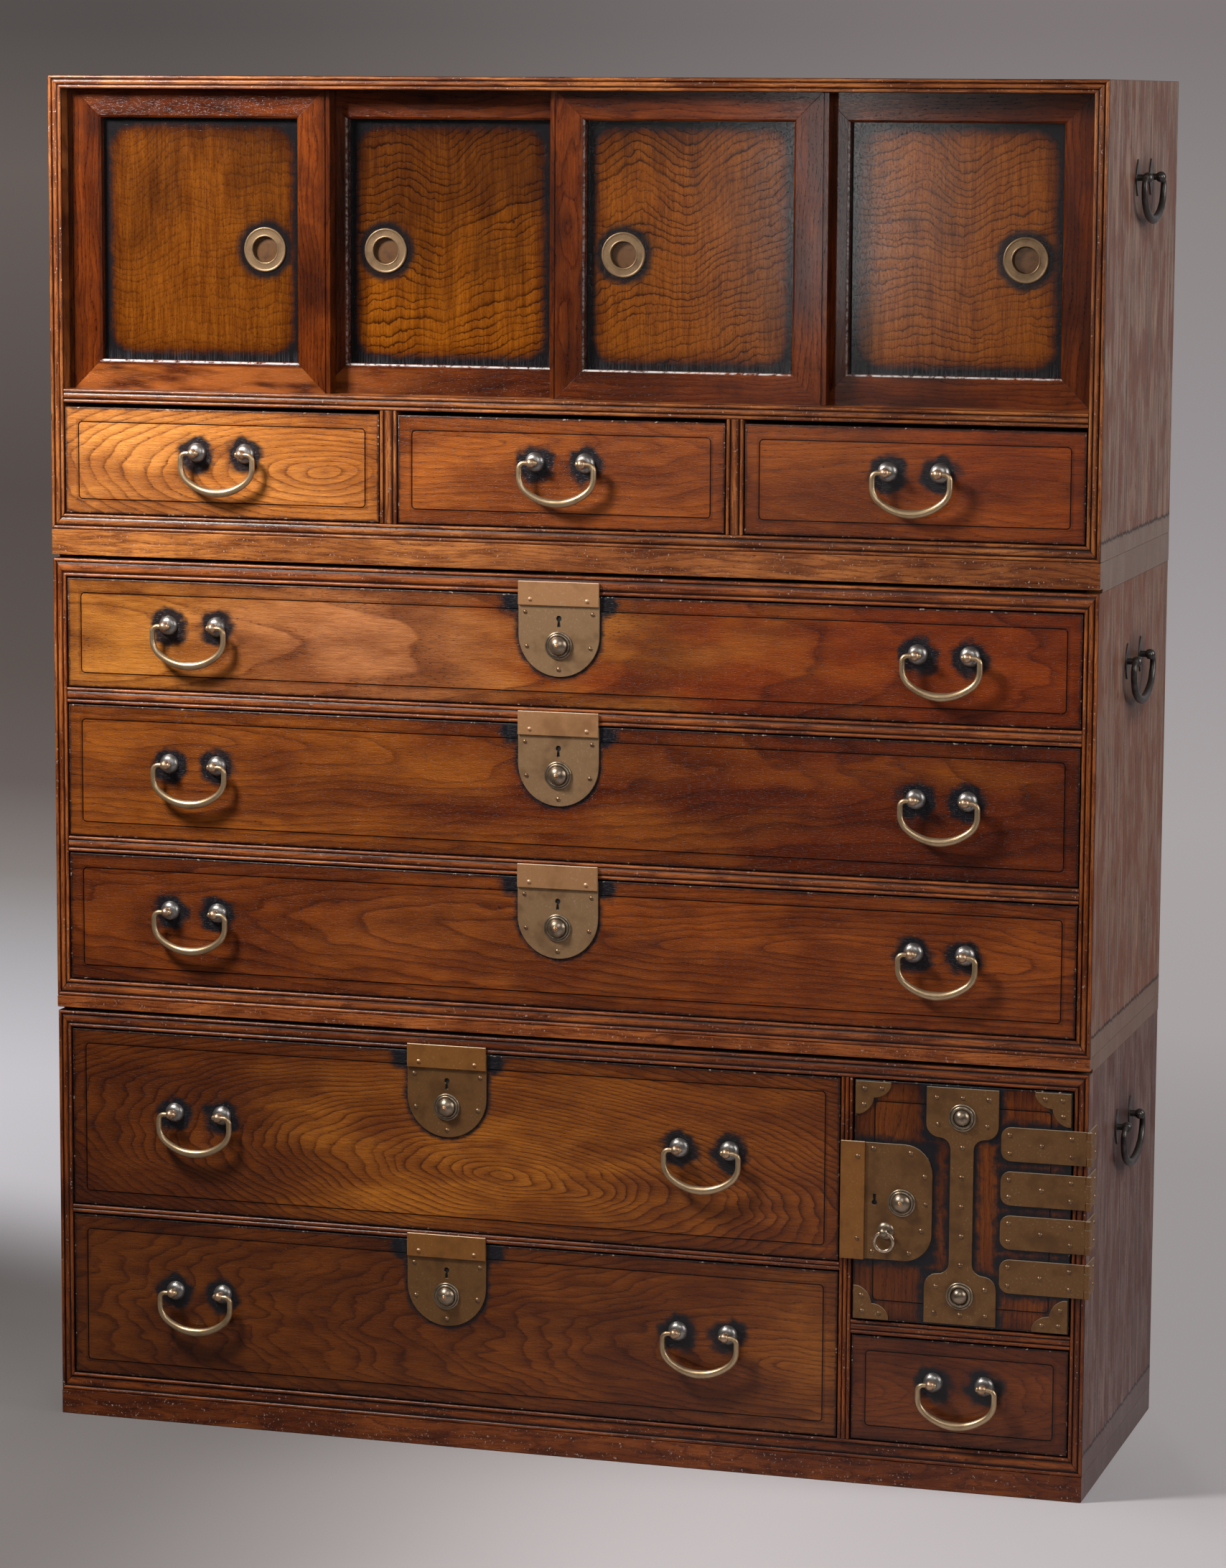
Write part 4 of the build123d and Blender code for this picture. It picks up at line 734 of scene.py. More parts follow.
def mitre(bm, a, b, waste):
    """Cuts along the plane through two points (x, z) of the front, away from the waste point."""
    along = Vector((b[0] - a[0], 0.0, b[1] - a[1]))
    normal = along.cross(Vector((0.0, 1.0, 0.0)))
    if normal.dot(Vector((waste[0] - a[0], 0.0, waste[1] - a[1]))) < 0:
        normal.negate()
    cut(bm, (a[0], 0.0, a[1]), normal)


def rod(bm, radius, length, middle, segments, axis=None):
    """A round bar along Z, or along Y or X after a quarter turn about the X or Y axis."""
    turn = Matrix.Rotation(math.pi / 2, 4, axis) if axis else Matrix()
    bmesh.ops.create_cone(bm, cap_ends=True, segments=segments, radius1=radius, radius2=radius, depth=length,
                          matrix=Matrix.Translation(middle) @ turn)


def solid_box(bm, low, high):
    """A plain block between two corners. Returns its vertices."""
    size = [high[axis] - low[axis] for axis in range(3)]
    middle = [(high[axis] + low[axis]) / 2.0 for axis in range(3)]
    place = Matrix.Translation(middle) @ Matrix.Diagonal((*size, 1.0))
    return bmesh.ops.create_cube(bm, size=1.0, matrix=place)["verts"]


def piece(name, bm, body, material, angle=40.0):
    """Finishes a mesh: closes it, scales it to metres, shades it and lets it ride on its body."""
    bmesh.ops.remove_doubles(bm, verts=bm.verts, dist=0.0004)
    bmesh.ops.recalc_face_normals(bm, faces=bm.faces)
    bmesh.ops.scale(bm, vec=(MM, MM, MM), verts=bm.verts)
    mesh = bpy.data.meshes.new(name)
    bm.to_mesh(mesh)
    bm.free()
    for polygon in mesh.polygons:
        polygon.use_smooth = True
    mesh.set_sharp_from_angle(angle=math.radians(angle))
    mesh.materials.append(material)
    made = bpy.data.objects.new(name, mesh)
    bpy.context.scene.collection.objects.link(made)
    weighted = made.modifiers.new("flat_faces", "WEIGHTED_NORMAL")
    weighted.keep_sharp = True
    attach(made, body)
    return made


def carve(made, cutter_bm):
    """Takes a cutter, drawn in millimetres, out of a finished piece."""
    bmesh.ops.recalc_face_normals(cutter_bm, faces=cutter_bm.faces)
    bmesh.ops.scale(cutter_bm, vec=(MM, MM, MM), verts=cutter_bm.verts)
    mesh = bpy.data.meshes.new("cutter")
    cutter_bm.to_mesh(mesh)
    cutter_bm.free()
    cutter = bpy.data.objects.new("cutter", mesh)
    bpy.context.scene.collection.objects.link(cutter)
    carving = made.modifiers.new("carve", "BOOLEAN")
    carving.operation = "DIFFERENCE"
    carving.solver = "EXACT"
    carving.object = cutter
    bpy.context.view_layer.update()
    graph = bpy.context.evaluated_depsgraph_get()
    carved = bpy.data.meshes.new_from_object(made.evaluated_get(graph))
    made.modifiers.remove(carving)
    carved.name = made.name
    made.data = carved
    bpy.data.objects.remove(cutter)


def drill_hole(made, radius, length, middle, segments, axis="X"):
    """Drills a round hole into a finished piece."""
    cutter = bmesh.new()
    rod(cutter, radius, length, middle, segments, axis)
    carve(made, cutter)


def board(name, low, high, body, material, edge):
    """A planed board with slightly rubbed arrises."""
    bm = bmesh.new()
    solid_box(bm, low, high)
    soften(bm, edge)
    return piece(name, bm, body, material)


# ================================================================ reeded members
def reeded(bm, width, depth, length):
    """A member whose front edge carries beads: X across its face, Y into its depth, Z along it."""
    stops = (0.0, BEAD, width - BEAD, width) if width > 3 * BEAD else (0.0, width / 2.0, width)
    pen = Pen(bm, 0.0, GROOVE)
    for left, right in zip(stops, stops[1:]):
        crest = 0.0 if right - left <= 1.5 * BEAD else REED_CENTRE
        pen.bow(right, GROOVE, (left + right) / 2.0, crest, 6)
    pen.line(width, depth).line(0.0, depth)
    return pen.thick(length)


def upright(bm, x0, width, front, depth, z0, z1):
    """A reeded member that stands."""
    put(bm, reeded(bm, width, depth, z1 - z0), Matrix.Translation((x0, front, z0)))


def level(bm, x0, x1, front, depth, z0, height):
    """A reeded member that lies across the front."""
    place = Matrix(((0, 0, -1, x1), (0, 1, 0, front), (1, 0, 0, z0), (0, 0, 0, 1)))
    put(bm, reeded(bm, height, depth, x1 - x0), place)


CARCASS_BODY = {"upper": (0.310, 0.104, 0.028), "middle": (0.318, 0.093, 0.023), "lower": (0.200, 0.050, 0.009)}
# Bare, worn and old tones of the outer sides.
SIDE_TONES = {"upper": ((0.085, 0.044, 0.030), (0.270, 0.165, 0.120), (0.135, 0.046, 0.023)),
              "middle": ((0.095, 0.043, 0.026), (0.255, 0.142, 0.096), (0.150, 0.048, 0.022)),
              "lower": ((0.066, 0.033, 0.026), (0.190, 0.110, 0.092), (0.098, 0.034, 0.024))}


def carcass_finishes(chest, seed):
    """Wood of the level boards, the uprights and the plinth of a chest."""
    size, body = CHESTS[chest], CARCASS_BODY[chest]
    front, top = size["front"], size["top"]
    bail = pivot_of(f"{chest}_side_bail_right_swing")[2]
    side = (size["half"], size["floor"] + 3.0, bail, *SIDE_TONES[chest])
    return {"level": frame_wood(f"{chest}_level_wood", "x", front, body, side, seed, top),
            "upright": frame_wood(f"{chest}_upright_wood", "z", front, body, side, seed + 2, top),
            "plinth": frame_wood(f"{chest}_plinth_wood", "x", front, body, side, seed + 5, reeded=False,
                                 painted_sheen_left=chest == "upper")}


CARCASS_WOOD = {chest: carcass_finishes(chest, seed)
                for chest, seed in (("upper", 1.0), ("middle", 4.0), ("lower", 9.0))}


def track_grooves(reach, z0, z1):
    """The two grooves that the doors' tongues run in, as solids to cut away."""
    grooves = bmesh.new()
    for track in TRACKS:
        back = track + DOOR["tongue"] + TRACK_GAP
        solid_box(grooves, (-reach, track - TRACK_GAP, z0), (reach, back, z1))
    return grooves


def carcass(chest):
    """The mitred ring of four reeded boards, the back and the plinth."""
    size, wood = CHESTS[chest], CARCASS_WOOD[chest]
    out, inn, front, low = size["half"], size["inner"], size["front"], size["board"]
    floor, ceiling, top = size["floor"], size["ceiling"], size["top"]
    depth = BACK - front
    corners = {(-1, 1): ((-out, top), (-inn, ceiling)), (1, 1): ((out, top), (inn, ceiling)),
               (-1, -1): ((-out, low), (-inn, floor)), (1, -1): ((out, low), (inn, floor))}
    for side, word in ((-1, "left"), (1, "right")):
        bm = bmesh.new()
        upright(bm, -out if side < 0 else inn, out - inn, front, depth, low, top)
        mitre(bm, *corners[side, 1], (0.0, top))
        mitre(bm, *corners[side, -1], (0.0, low))
        soften(bm, 0.7)
        made = piece(f"{chest}_side_{word}", bm, "cabinet", wood["upright"])
    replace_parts(made, f"{chest}_carcass")
    middle_z = (floor + ceiling) / 2.0
    for up, word, z0, z1 in ((1, "top_board", ceiling, top), (-1, "bottom_board", low, floor)):
        bm = bmesh.new()
        level(bm, -out, out, front, depth, z0, z1 - z0)
        mitre(bm, *corners[-1, up], (-out, middle_z))
        mitre(bm, *corners[1, up], (out, middle_z))
        soften(bm, 0.7)
        made = piece(f"{chest}_{word}", bm, "cabinet", wood["level"])
        if chest == "upper" and up > 0:
            carve(made, track_grooves(inn, ceiling - 1.0, ceiling + 8.0))
    behind, base = front + PLINTH, size["base"]
    for word, near, far, finish, edge in (
            ("back", (-inn, BACK - BACK_BOARD, floor), (inn, BACK, ceiling), BACK_WOOD, 0.4),
            ("plinth_front", (-out, front, base + size["lift"]), (out, behind, low), wood["plinth"], 1.1),
            ("plinth_left", (-out, behind, base), (-out + PLINTH, BACK, low), wood["plinth"], 0.8),
            ("plinth_right", (out - PLINTH, behind, base), (out, BACK, low), wood["plinth"], 0.8),
            ("plinth_back", (-out + PLINTH, BACK - PLINTH, base), (out - PLINTH, BACK, low), BACK_WOOD, 0.8),
            ("bearer", (-20.0, behind, base), (20.0, BACK - PLINTH, low), BACK_WOOD, 0.8)):
        board(f"{chest}_{word}", near, far, "cabinet", finish, edge)


def shelf(name, chest, x0, x1, z0, height, depth=RAIL):
    """A reeded rail with a thin dust board behind it."""
    front = CHESTS[chest]["front"]
    bm = bmesh.new()
    level(bm, x0, x1, front, depth, z0, height)
    soften(bm, 0.5)
    rail = piece(f"{name}_rail", bm, "cabinet", CARCASS_WOOD[chest]["level"])
    board(f"{name}_dust_board", (x0, front + depth, z0 + height - DUST_BOARD), (x1, BACK - BACK_BOARD, z0 + height),
          "cabinet", INSIDE_X, 0.3)
    return rail


def sill_and_dividers():
    """The grooved sill of the sliding doors, and the uprights between the small drawers below it."""
    upper = CHESTS["upper"]
    inn, front = upper["inner"], upper["front"]
    sill = shelf("upper_sill", "upper", -inn, inn, SILL_TOP - SILL_THICK, SILL_THICK, SILL)
    carve(sill, track_grooves(inn + 0.5, SILL_TOP - 6.0, SILL_TOP + 1.0))
    for number in (1, 2):
        x0 = box_of(f"upper_drawer_{number}")[1][0] + 1.2
        bm = bmesh.new()
        upright(bm, x0, 20.0, front, SILL, upper["floor"], SILL_TOP - SILL_THICK)
        soften(bm, 0.5)
        piece(f"upper_divider_{number}", bm, "cabinet", CARCASS_WOOD["upper"]["upright"])
        board(f"upper_divider_{number}_back", (x0, front + SILL, upper["floor"]),
              (x0 + 20.0, BACK - BACK_BOARD, SILL_TOP - DUST_BOARD), "cabinet", INSIDE_Y, 0.3)


def lower_divider():
    """The upright between the lower drawers and the safe, through the whole depth."""
    lower = CHESTS["lower"]
    bm = bmesh.new()
    upright(bm, DIVIDER_LEFT, DIVIDER, lower["front"], BACK - BACK_BOARD - lower["front"], lower["floor"],
            lower["ceiling"])
    soften(bm, 0.5)
    piece("lower_divider", bm, "cabinet", CARCASS_WOOD["lower"]["upright"])


for chest in CHESTS:
    carcass(chest)
sill_and_dividers()
middle_inner, lower_inner = CHESTS["middle"]["inner"], CHESTS["lower"]["inner"]
shelf("middle_lower", "middle", -middle_inner, middle_inner, 665.0, 18.0)
shelf("middle_upper", "middle", -middle_inner, middle_inner, 837.0, 18.0)
shelf("wide", "lower", -lower_inner, DIVIDER_LEFT, 240.5, 10.0)
shelf("corner", "lower", DIVIDER_LEFT + DIVIDER, lower_inner, 170.5, 16.0)
lower_divider()


# ================================================================ sliding doors
# Inner edges of the frames, where a pale highlight is painted along the arris.
LOW_HIGHLIT_ARRIS = (SILL_TOP + 32.3,)
LEFT_HIGHLIT_ARRISES = [box_of(f"sliding_door_{number}")[0][0] + 38.0 for number in (2, 3, 4)]
door_level = [door_frame_wood(f"door_level_wood_{n}", "x", 3.0 + 5.0 * n, LOW_HIGHLIT_ARRIS) for n in range(2)]
door_upright = [door_frame_wood(f"door_upright_wood_{n}", "z", 8.0 + 4.0 * n, LEFT_HIGHLIT_ARRISES) for n in range(2)]
# Where the grain of each panel crests and dips, how much it rises to the right, how dark its lines are, its tone
# and how much darker it is painted at the top, as painted shade.
PANEL_GRAIN = (((-455.0, -520.0, 0.05), 0.40, (0.054, 0.0140, 0.0016), 0.50),
               ((-205.0, -150.0, 0.22), 0.90, (0.082, 0.0215, 0.0014), 0.95),
               ((85.0, 140.0, 0.28), 0.95, (0.070, 0.0180, 0.0014), 0.35),
               ((395.0, 440.0, 0.10), 0.80, (0.082, 0.0210, 0.0022), 0.20))


def door_upright_member(name, body, x0, mirrored, low, high, y0, material):
    """An upright of a door frame: a bead along its outer edge and a splay along its inner one."""
    m, thick, bevel, bead, groove = (DOOR[part] for part in ("member", "thick", "bevel", "bead", "bead_groove"))
    bm = bmesh.new()
    pen = Pen(bm, 0.0, 0.0).line(bead, 0.0).line(bead + 0.2, groove).line(bead + groove, groove)
    pen.line(bead + groove + 0.3, 0.0).line(m - bevel, 0.0).line(m, bevel).line(m, thick).line(0.0, thick)
    verts = pen.thick(high[2] - low[2])
    put(bm, verts, Matrix.Diagonal((-1.0 if mirrored else 1.0, 1.0, 1.0, 1.0)))
    put(bm, bm.verts, Matrix.Translation((x0, y0, low[2])))
    inward = -m if mirrored else m
    middle_x = x0 + inward * 3
    mitre(bm, (x0, low[2]), (x0 + inward, low[2] + m), (middle_x, low[2]))
    mitre(bm, (x0, high[2]), (x0 + inward, high[2] - m), (middle_x, high[2]))
    cut(bm, (0.0, 0.0, SILL_TOP + 0.5), (0.0, 0.0, -1.0))
    cut(bm, (0.0, 0.0, CHESTS["upper"]["ceiling"] - 0.5), (0.0, 0.0, 1.0))
    soften(bm, 0.45)
    return piece(name, bm, body, material)


def door_level_member(name, body, low, high, at_top, y0, material):
    """The top or bottom member of a door frame, with the tongue that runs in the track."""
    m, thick, bevel, tongue = (DOOR[part] for part in ("member", "thick", "bevel", "tongue"))
    flip = -1.0 if at_top else 1.0
    shoulder = (CHESTS["upper"]["ceiling"] - 1.0 - high[2] if at_top else SILL_TOP + 1.0 - low[2]) * flip
    bm = bmesh.new()
    pen = Pen(bm, 0.0, 0.0).line(m - bevel, 0.0).line(m, bevel).line(m, thick)
    pen.line(shoulder, thick).line(shoulder, tongue).line(0.0, tongue)
    verts = pen.thick(high[0] - low[0])
    z0 = high[2] if at_top else low[2]
    place = Matrix(((0, 0, -1, high[0]), (0, 1, 0, y0), (flip, 0, 0, z0), (0, 0, 0, 1)))
    put(bm, verts, place)
    z1 = z0 + flip * m
    middle_z = z0 + flip * m * 3
    mitre(bm, (low[0], z0), (low[0] + m, z1), (low[0], middle_z))
    mitre(bm, (high[0], z0), (high[0] - m, z1), (high[0], middle_z))
    soften(bm, 0.45)
    piece(name, bm, body, material)


def finger_pull(name, x, y, z, node):
    """A round cup let into a panel, with a turned rim and a browned floor."""
    bm = bmesh.new()
    pen = Pen(bm, 0.0, -5.8).line(15.3, -5.8).line(15.3, 0.0).line(25.0, 0.0).line(25.0, 0.7)
    pen.bow(23.4, 1.6, 24.6, 1.4, 4).line(22.6, 1.45).line(22.0, 1.15).line(16.4, 1.2)
    pen.bow(14.5, 0.7, 15.3, 1.75, 5).line(14.3, -3.4).bow(13.2, -5.0, 14.0, -4.6, 4)
    pen.line(9.0, -4.6).line(0.0, -4.5)
    turned(bm, pen, knob_at(x, y, z), 64)
    floor = bmesh.new()
    pen = Pen(floor, 0.0, -4.7).line(13.6, -4.7).line(13.6, -4.2).bow(0.0, -4.1, 6.0, -4.0, 3)
    turned(floor, pen, knob_at(x, y, z), 48)
    piece(f"{name}_pull_floor", floor, name, PULL_FLOOR, angle=50.0)
    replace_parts(piece(f"{name}_finger_pull", bm, name, PULL, angle=50.0), node)


def sliding_door(number):
    """A mitred frame round a recessed panel, with its finger pull."""
    name = f"door_{number}"
    low, high = box_of(f"sliding_door_{number}")
    m, y0 = DOOR["member"], low[1]
    wood_up, wood_across = door_upright[(number - 1) % 2], door_level[(number - 1) % 2]
    made = door_upright_member(f"{name}_left_stile", name, low[0], False, low, high, y0, wood_up)
    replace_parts(made, f"sliding_door_{number}")
    door_upright_member(f"{name}_right_stile", name, high[0], True, low, high, y0, wood_up)
    door_level_member(f"{name}_top_rail", name, low, high, True, y0, wood_across)
    door_level_member(f"{name}_bottom_rail", name, low, high, False, y0, wood_across)
    pull_low, pull_high = box_of(f"finger_pull_{number}")
    px, pz = (pull_low[0] + pull_high[0]) / 2.0, (pull_low[2] + pull_high[2]) / 2.0
    housed = m - 3.0                    # the panel reaches 3 mm into the frame
    panel_front = y0 + DOOR["panel_back"]
    panel_rear = panel_front + DOOR["panel"]
    wood = door_panel_wood(f"{name}_panel_wood", (low[0] + m, panel_front, low[2] + m),
                           (high[0] - m, panel_rear, high[2] - m), (px, pz), 3.7 * number,
                           *PANEL_GRAIN[number - 1])
    panel = board(f"{name}_panel", (low[0] + housed, panel_front, low[2] + housed),
                  (high[0] - housed, panel_rear, high[2] - housed), name, wood, 0.3)
    drill_hole(panel, 15.5, 30.0, (px, panel_front, pz), 48)
    finger_pull(name, px, panel_front, pz, f"finger_pull_{number}")


for number in (1, 2, 3, 4):
    sliding_door(number)


# ================================================================ drawers
LOCK_HALF = 47.0
PLATE_THICK = 1.9
COVER_THICK = 2.6
BUTTON_HOLE = 10.8
# How far the parts of a lock are below the top of its cover bar, in the order of their heights.
COVER_HEIGHT = 27.0
KEYHOLE_DROP = 41.0
ROUND_DROP = 59.0             # centre of the plate's round end
BUTTON_DROP = 71.0


def scratched_front(bm, low, high, inset):
    """A drawer front with rounded arrises and a thin line cut round it."""
    y = low[1]
    verts = solid_box(bm, low, (high[0], y + FRONT, high[2]))
    soften(bm, 1.3, segments=3, verts=[vert for vert in verts if vert.co.y < y + 0.1])
    face = min(bm.faces, key=lambda item: item.calc_center_median().y)
    bmesh.ops.inset_region(bm, faces=[face], thickness=inset, use_even_offset=True)
    corners = list(face.verts)
    bmesh.ops.bevel(bm, geom=corners, offset=SCRATCH_CORNER, offset_type="OFFSET", segments=5, profile=0.5,
                    affect="VERTICES", material=-1)
    face = max((item for item in bm.faces if item.calc_center_median().y < y + 0.01),
               key=lambda item: item.calc_area())
    made = bmesh.ops.inset_region(bm, faces=[face], thickness=SCRATCH_WIDTH, use_even_offset=True)
    sunk = bmesh.ops.extrude_face_region(bm, geom=made["faces"])
    bmesh.ops.delete(bm, geom=made["faces"], context="FACES_ONLY")
    moved = [item for item in sunk["geom"] if isinstance(item, bmesh.types.BMVert)]
    bmesh.ops.translate(bm, vec=(0.0, SCRATCH_DEPTH, 0.0), verts=moved)


def keyhole(bm, x, z, y_front, y_back, down):
    """A round hole with a slot, as a solid to cut away."""
    sign = -1.0 if down else 1.0
    pen = Pen(bm, 1.3, sign * 2.9)
    pen.bow(-1.3, sign * 2.9, 0.0, -sign * 3.2, 16)
    pen.line(-2.0, sign * 9.6).line(2.0, sign * 9.6)
    put(bm, pen.thick(y_back - y_front), flat_front(0.0))
    bmesh.ops.translate(bm, vec=(x, y_back, z), verts=bm.verts)


def cut_keyhole(plate, name, x, z, y, body, down):
    """Cuts a keyhole into a lock plate whose back is at y, and puts a near-black piece behind it as painted
    shade.
    """
    hole = bmesh.new()
    keyhole(hole, x, z, y - 3.0, y + 0.3, down)
    carve(plate, hole)
    bm = bmesh.new()
    keyhole(bm, x, z, y - 0.35, y - 0.1, down)
    piece(f"{name}_keyhole", bm, body, KEYHOLE_SHADE)


def bail_tube(spacing, half, drop, bend, straight, side_radius, radii):
    """The bar of a bail hanging from the X axis, drawn as a curve that swells towards its middle. half is half its
    width, drop its height, bend the radius of its shoulders, straight the run below them, side_radius that of the
    lower corners, and radii the bar's own at its ends, shoulders and middle."""
    end, shoulder, middle = radii
    bent, low = (end + shoulder) / 2.0, bend + straight
    run, reach = drop - low, half - side_radius
    bottom = (reach ** 2 + run ** 2 - side_radius ** 2) / (2.0 * (run - side_radius))
    rise = bottom - run
    join = math.degrees(math.atan2(rise, reach))
    path = [(-spacing / 2.0 + 4.5, 0.0, end), (-spacing / 2.0, 0.0, end), (-half + bend, 0.0, end)]

    def sweep(cx, cz, radius, start, turn, steps, r0, r1):
        for step in range(1, steps + 1):
            part = step / steps
            angle = math.radians(start + turn * part)
            path.append((cx + radius * math.cos(angle), cz + radius * math.sin(angle), r0 + (r1 - r0) * part))

    sweep(-half + bend, -bend, bend, 90, 90, 6, end, bent)
    if straight:
        path.append((-half, -low, bent))
    sweep(-reach, -low, side_radius, 180, join, 8, bent, shoulder)
    sweep(0.0, rise - low, bottom, 180 + join, 90 - join, 10, shoulder, middle)
    path += [(-x, z, r) for x, z, r in reversed(path[:-1])]
    curve = bpy.data.curves.new("bail_bar", "CURVE")
    curve.dimensions = "3D"
    curve.bevel_depth = 1.0
    curve.bevel_resolution = 4
    curve.use_fill_caps = True
    spline = curve.splines.new("POLY")
    spline.points.add(len(path) - 1)
    for point, (x, z, radius) in zip(spline.points, path):
        point.co = (x, 0.0, z, 1.0)
        point.radius = radius
    holder = bpy.data.objects.new("bail_bar", curve)
    mesh = bpy.data.meshes.new_from_object(holder)
    bpy.data.objects.remove(holder)
    return mesh


BAIL_SPACING, SIDE_SPACING = 58.0, 78.0       # from eye to eye
EYE_BALL, SIDE_EYE_BALL = 5.4, 6.0            # radii of the eye heads
DRAWER_BAIL = bail_tube(BAIL_SPACING, half=43.0, drop=44.0, bend=6.4, straight=8.0, side_radius=22.0,
                        radii=(2.6, 3.7, 5.0))
SIDE_BAIL = bail_tube(SIDE_SPACING, half=57.0, drop=46.0, bend=9.0, straight=0.0, side_radius=30.0,
                      radii=(2.8, 4.0, 4.8))


def hang(name, bar, place, body, material, node, ball, eye, spacing):
    """Hangs a bail bar in its eyes and adds the small balls on its ends."""
    bm = bmesh.new()
    bm.from_mesh(bar)
    for side in (-1, 1):
        spot = Matrix.Translation((side * (spacing / 2.0 - eye + ball * 0.35), 0.0, 0.0))
        bmesh.ops.create_uvsphere(bm, u_segments=16, v_segments=10, radius=ball, matrix=spot)
    put(bm, bm.verts, place)
    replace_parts(piece(name, bm, body, material, angle=60.0), node)


def eye_post(bm, reach, shaft, ball, place):
    """A shaft that ends in a ball."""
    meet = math.degrees(math.asin(shaft / ball))
    low = reach - ball * math.cos(math.radians(meet))
    pen = Pen(bm, shaft, 0.5).line(shaft, low).arc(0.0, reach, 180.0 - meet, 10)
    turned(bm, pen, place, 24)


def bail_mount(name, spots, y, body, node):
    """The black domed seats and bright eye heads that carry the bails of a drawer."""
    seats, eyes = bmesh.new(), bmesh.new()
    for x, z in spots:
        place = knob_at(x, y, z)
        pen = Pen(seats, 0.0, 0.0).line(11.3, 0.0).bow(3.4, 6.9, 9.0, 4.6, 7).bow(0.0, 7.0, 1.6, 7.0, 3)
        turned(seats, pen, place, 32)
        eye_post(eyes, 14.0, 3.0, EYE_BALL, place)
    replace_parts(piece(f"{name}_bail_seats", seats, body, SEAT), node)
    piece(f"{name}_eye_heads", eyes, body, EYE, angle=60.0)


def washer_ring(bm, place, inner=10.4, outer=15.7, height=3.0):
    """A raised moulded ring round a round button or boss."""
    pen = Pen(bm, inner, 0.0).line(outer, 0.0).line(outer, 0.8)
    pen.bow(outer - 1.7, height * 0.8, outer - 0.4, height * 0.66, 4)
    pen.line(outer - 2.4, height * 0.55).bow(inner + 0.4, height, (outer + inner) / 2.0 - 0.6, height * 1.1, 5)
    pen.line(inner, height * 0.8).line(inner, 0.0)
    turned(bm, pen, place, 40)


def lock_ring(name, x, y, z, body):
    """The moulded ring round the button of a lock."""
    bm = bmesh.new()
    washer_ring(bm, knob_at(x, y, z))
    piece(f"{name}_lock_ring", bm, body, PEWTER, angle=50.0)


def lock_button(name, x, y, z, body, node):
    """The domed button of a lock, with its copper tip."""
    bm = bmesh.new()
    radius, shoulder, crown = 10.3, 4.6, 6.0
    ball = (radius ** 2 + crown ** 2) / (2 * crown)
    swing = math.degrees(math.acos((ball - crown) / ball))
    pen = Pen(bm, 0.0, -8.5).line(radius, -8.5).line(radius, 3.6).line(10.0, 4.1).line(radius, shoulder)
    pen.arc(0.0, shoulder + crown - ball, swing, 8)
    turned(bm, pen, knob_at(x, y, z), 40)
    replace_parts(piece(name, bm, body, PEWTER, angle=50.0), node)
    bm = bmesh.new()
    pen = Pen(bm, 0.0, 9.0).line(3.1, 9.0).line(3.1, 9.9).bow(1.5, 10.6, 2.6, 10.5, 3).bow(0.0, 12.0, 1.2, 11.7, 4)
    turned(bm, pen, knob_at(x, y, z), 20)
    piece(f"{name}_tip", bm, body, NIPPLE, angle=60.0)


def drawer_lock(name, x, y, z_top, cover_top, plate_metal, cover_metal):
    """The U-shaped lock plate with its cover bar, ring and rivets."""
    half, centre = LOCK_HALF, cover_top - ROUND_DROP
    plate_y = y - PLATE_THICK
    cover_y = plate_y - COVER_THICK
    bm = bmesh.new()
    pen = Pen(bm, x - half, centre).bow(x + half, centre, x, centre - half, 28)
    pen.line(x + half, z_top - 1.2).line(x - half, z_top - 1.2)
    put(bm, pen.thick(PLATE_THICK), flat_front(y))
    soften(bm, 0.55)
    plate = piece(f"{name}_lock_plate", bm, name, plate_metal)
    cut_keyhole(plate, name, x, cover_top - KEYHOLE_DROP, y, name, True)
    bm = bmesh.new()
    solid_box(bm, (x - half, cover_y, cover_top - COVER_HEIGHT), (x + half, plate_y, cover_top))
    soften(bm, 0.9, segments=3)
    piece(f"{name}_lock_cover", bm, name, cover_metal)
    lock_ring(name, x, plate_y, cover_top - BUTTON_DROP, name)
    spots = [(x - 39, cover_top - 35), (x + 39, cover_top - 35), (x - 37, cover_top - 73), (x + 37, cover_top - 73),
             (x, cover_top - 98)]
    rivets(f"{name}_plate_rivets", spots, plate_y, name)
    rivets(f"{name}_cover_rivets", [(x - 33, cover_top - 20.5), (x + 33, cover_top - 20.5)], cover_y, name,
           cover_metal)


def drawer_box(name, low, high):
    """The plain sides, back and bottom behind a drawer front."""
    wall, back, rear, wall_top = 10.0, low[1] + FRONT, high[1], high[2] - 10.0
    bm = bmesh.new()
    solid_box(bm, (low[0], back, low[2]), (low[0] + wall, rear, wall_top))
    solid_box(bm, (high[0] - wall, back, low[2]), (high[0], rear, wall_top))
    soften(bm, 0.5)
    piece(f"{name}_sides", bm, name, INSIDE_Y)
    board(f"{name}_back", (low[0] + wall, rear - wall, low[2]), (high[0] - wall, rear, wall_top), name,
          INSIDE_X, 0.5)
    board(f"{name}_bottom", (low[0] + wall, back, low[2] + 4.0), (high[0] - wall, rear - wall, low[2] + 10.0), name,
          INSIDE_X, 0.3)


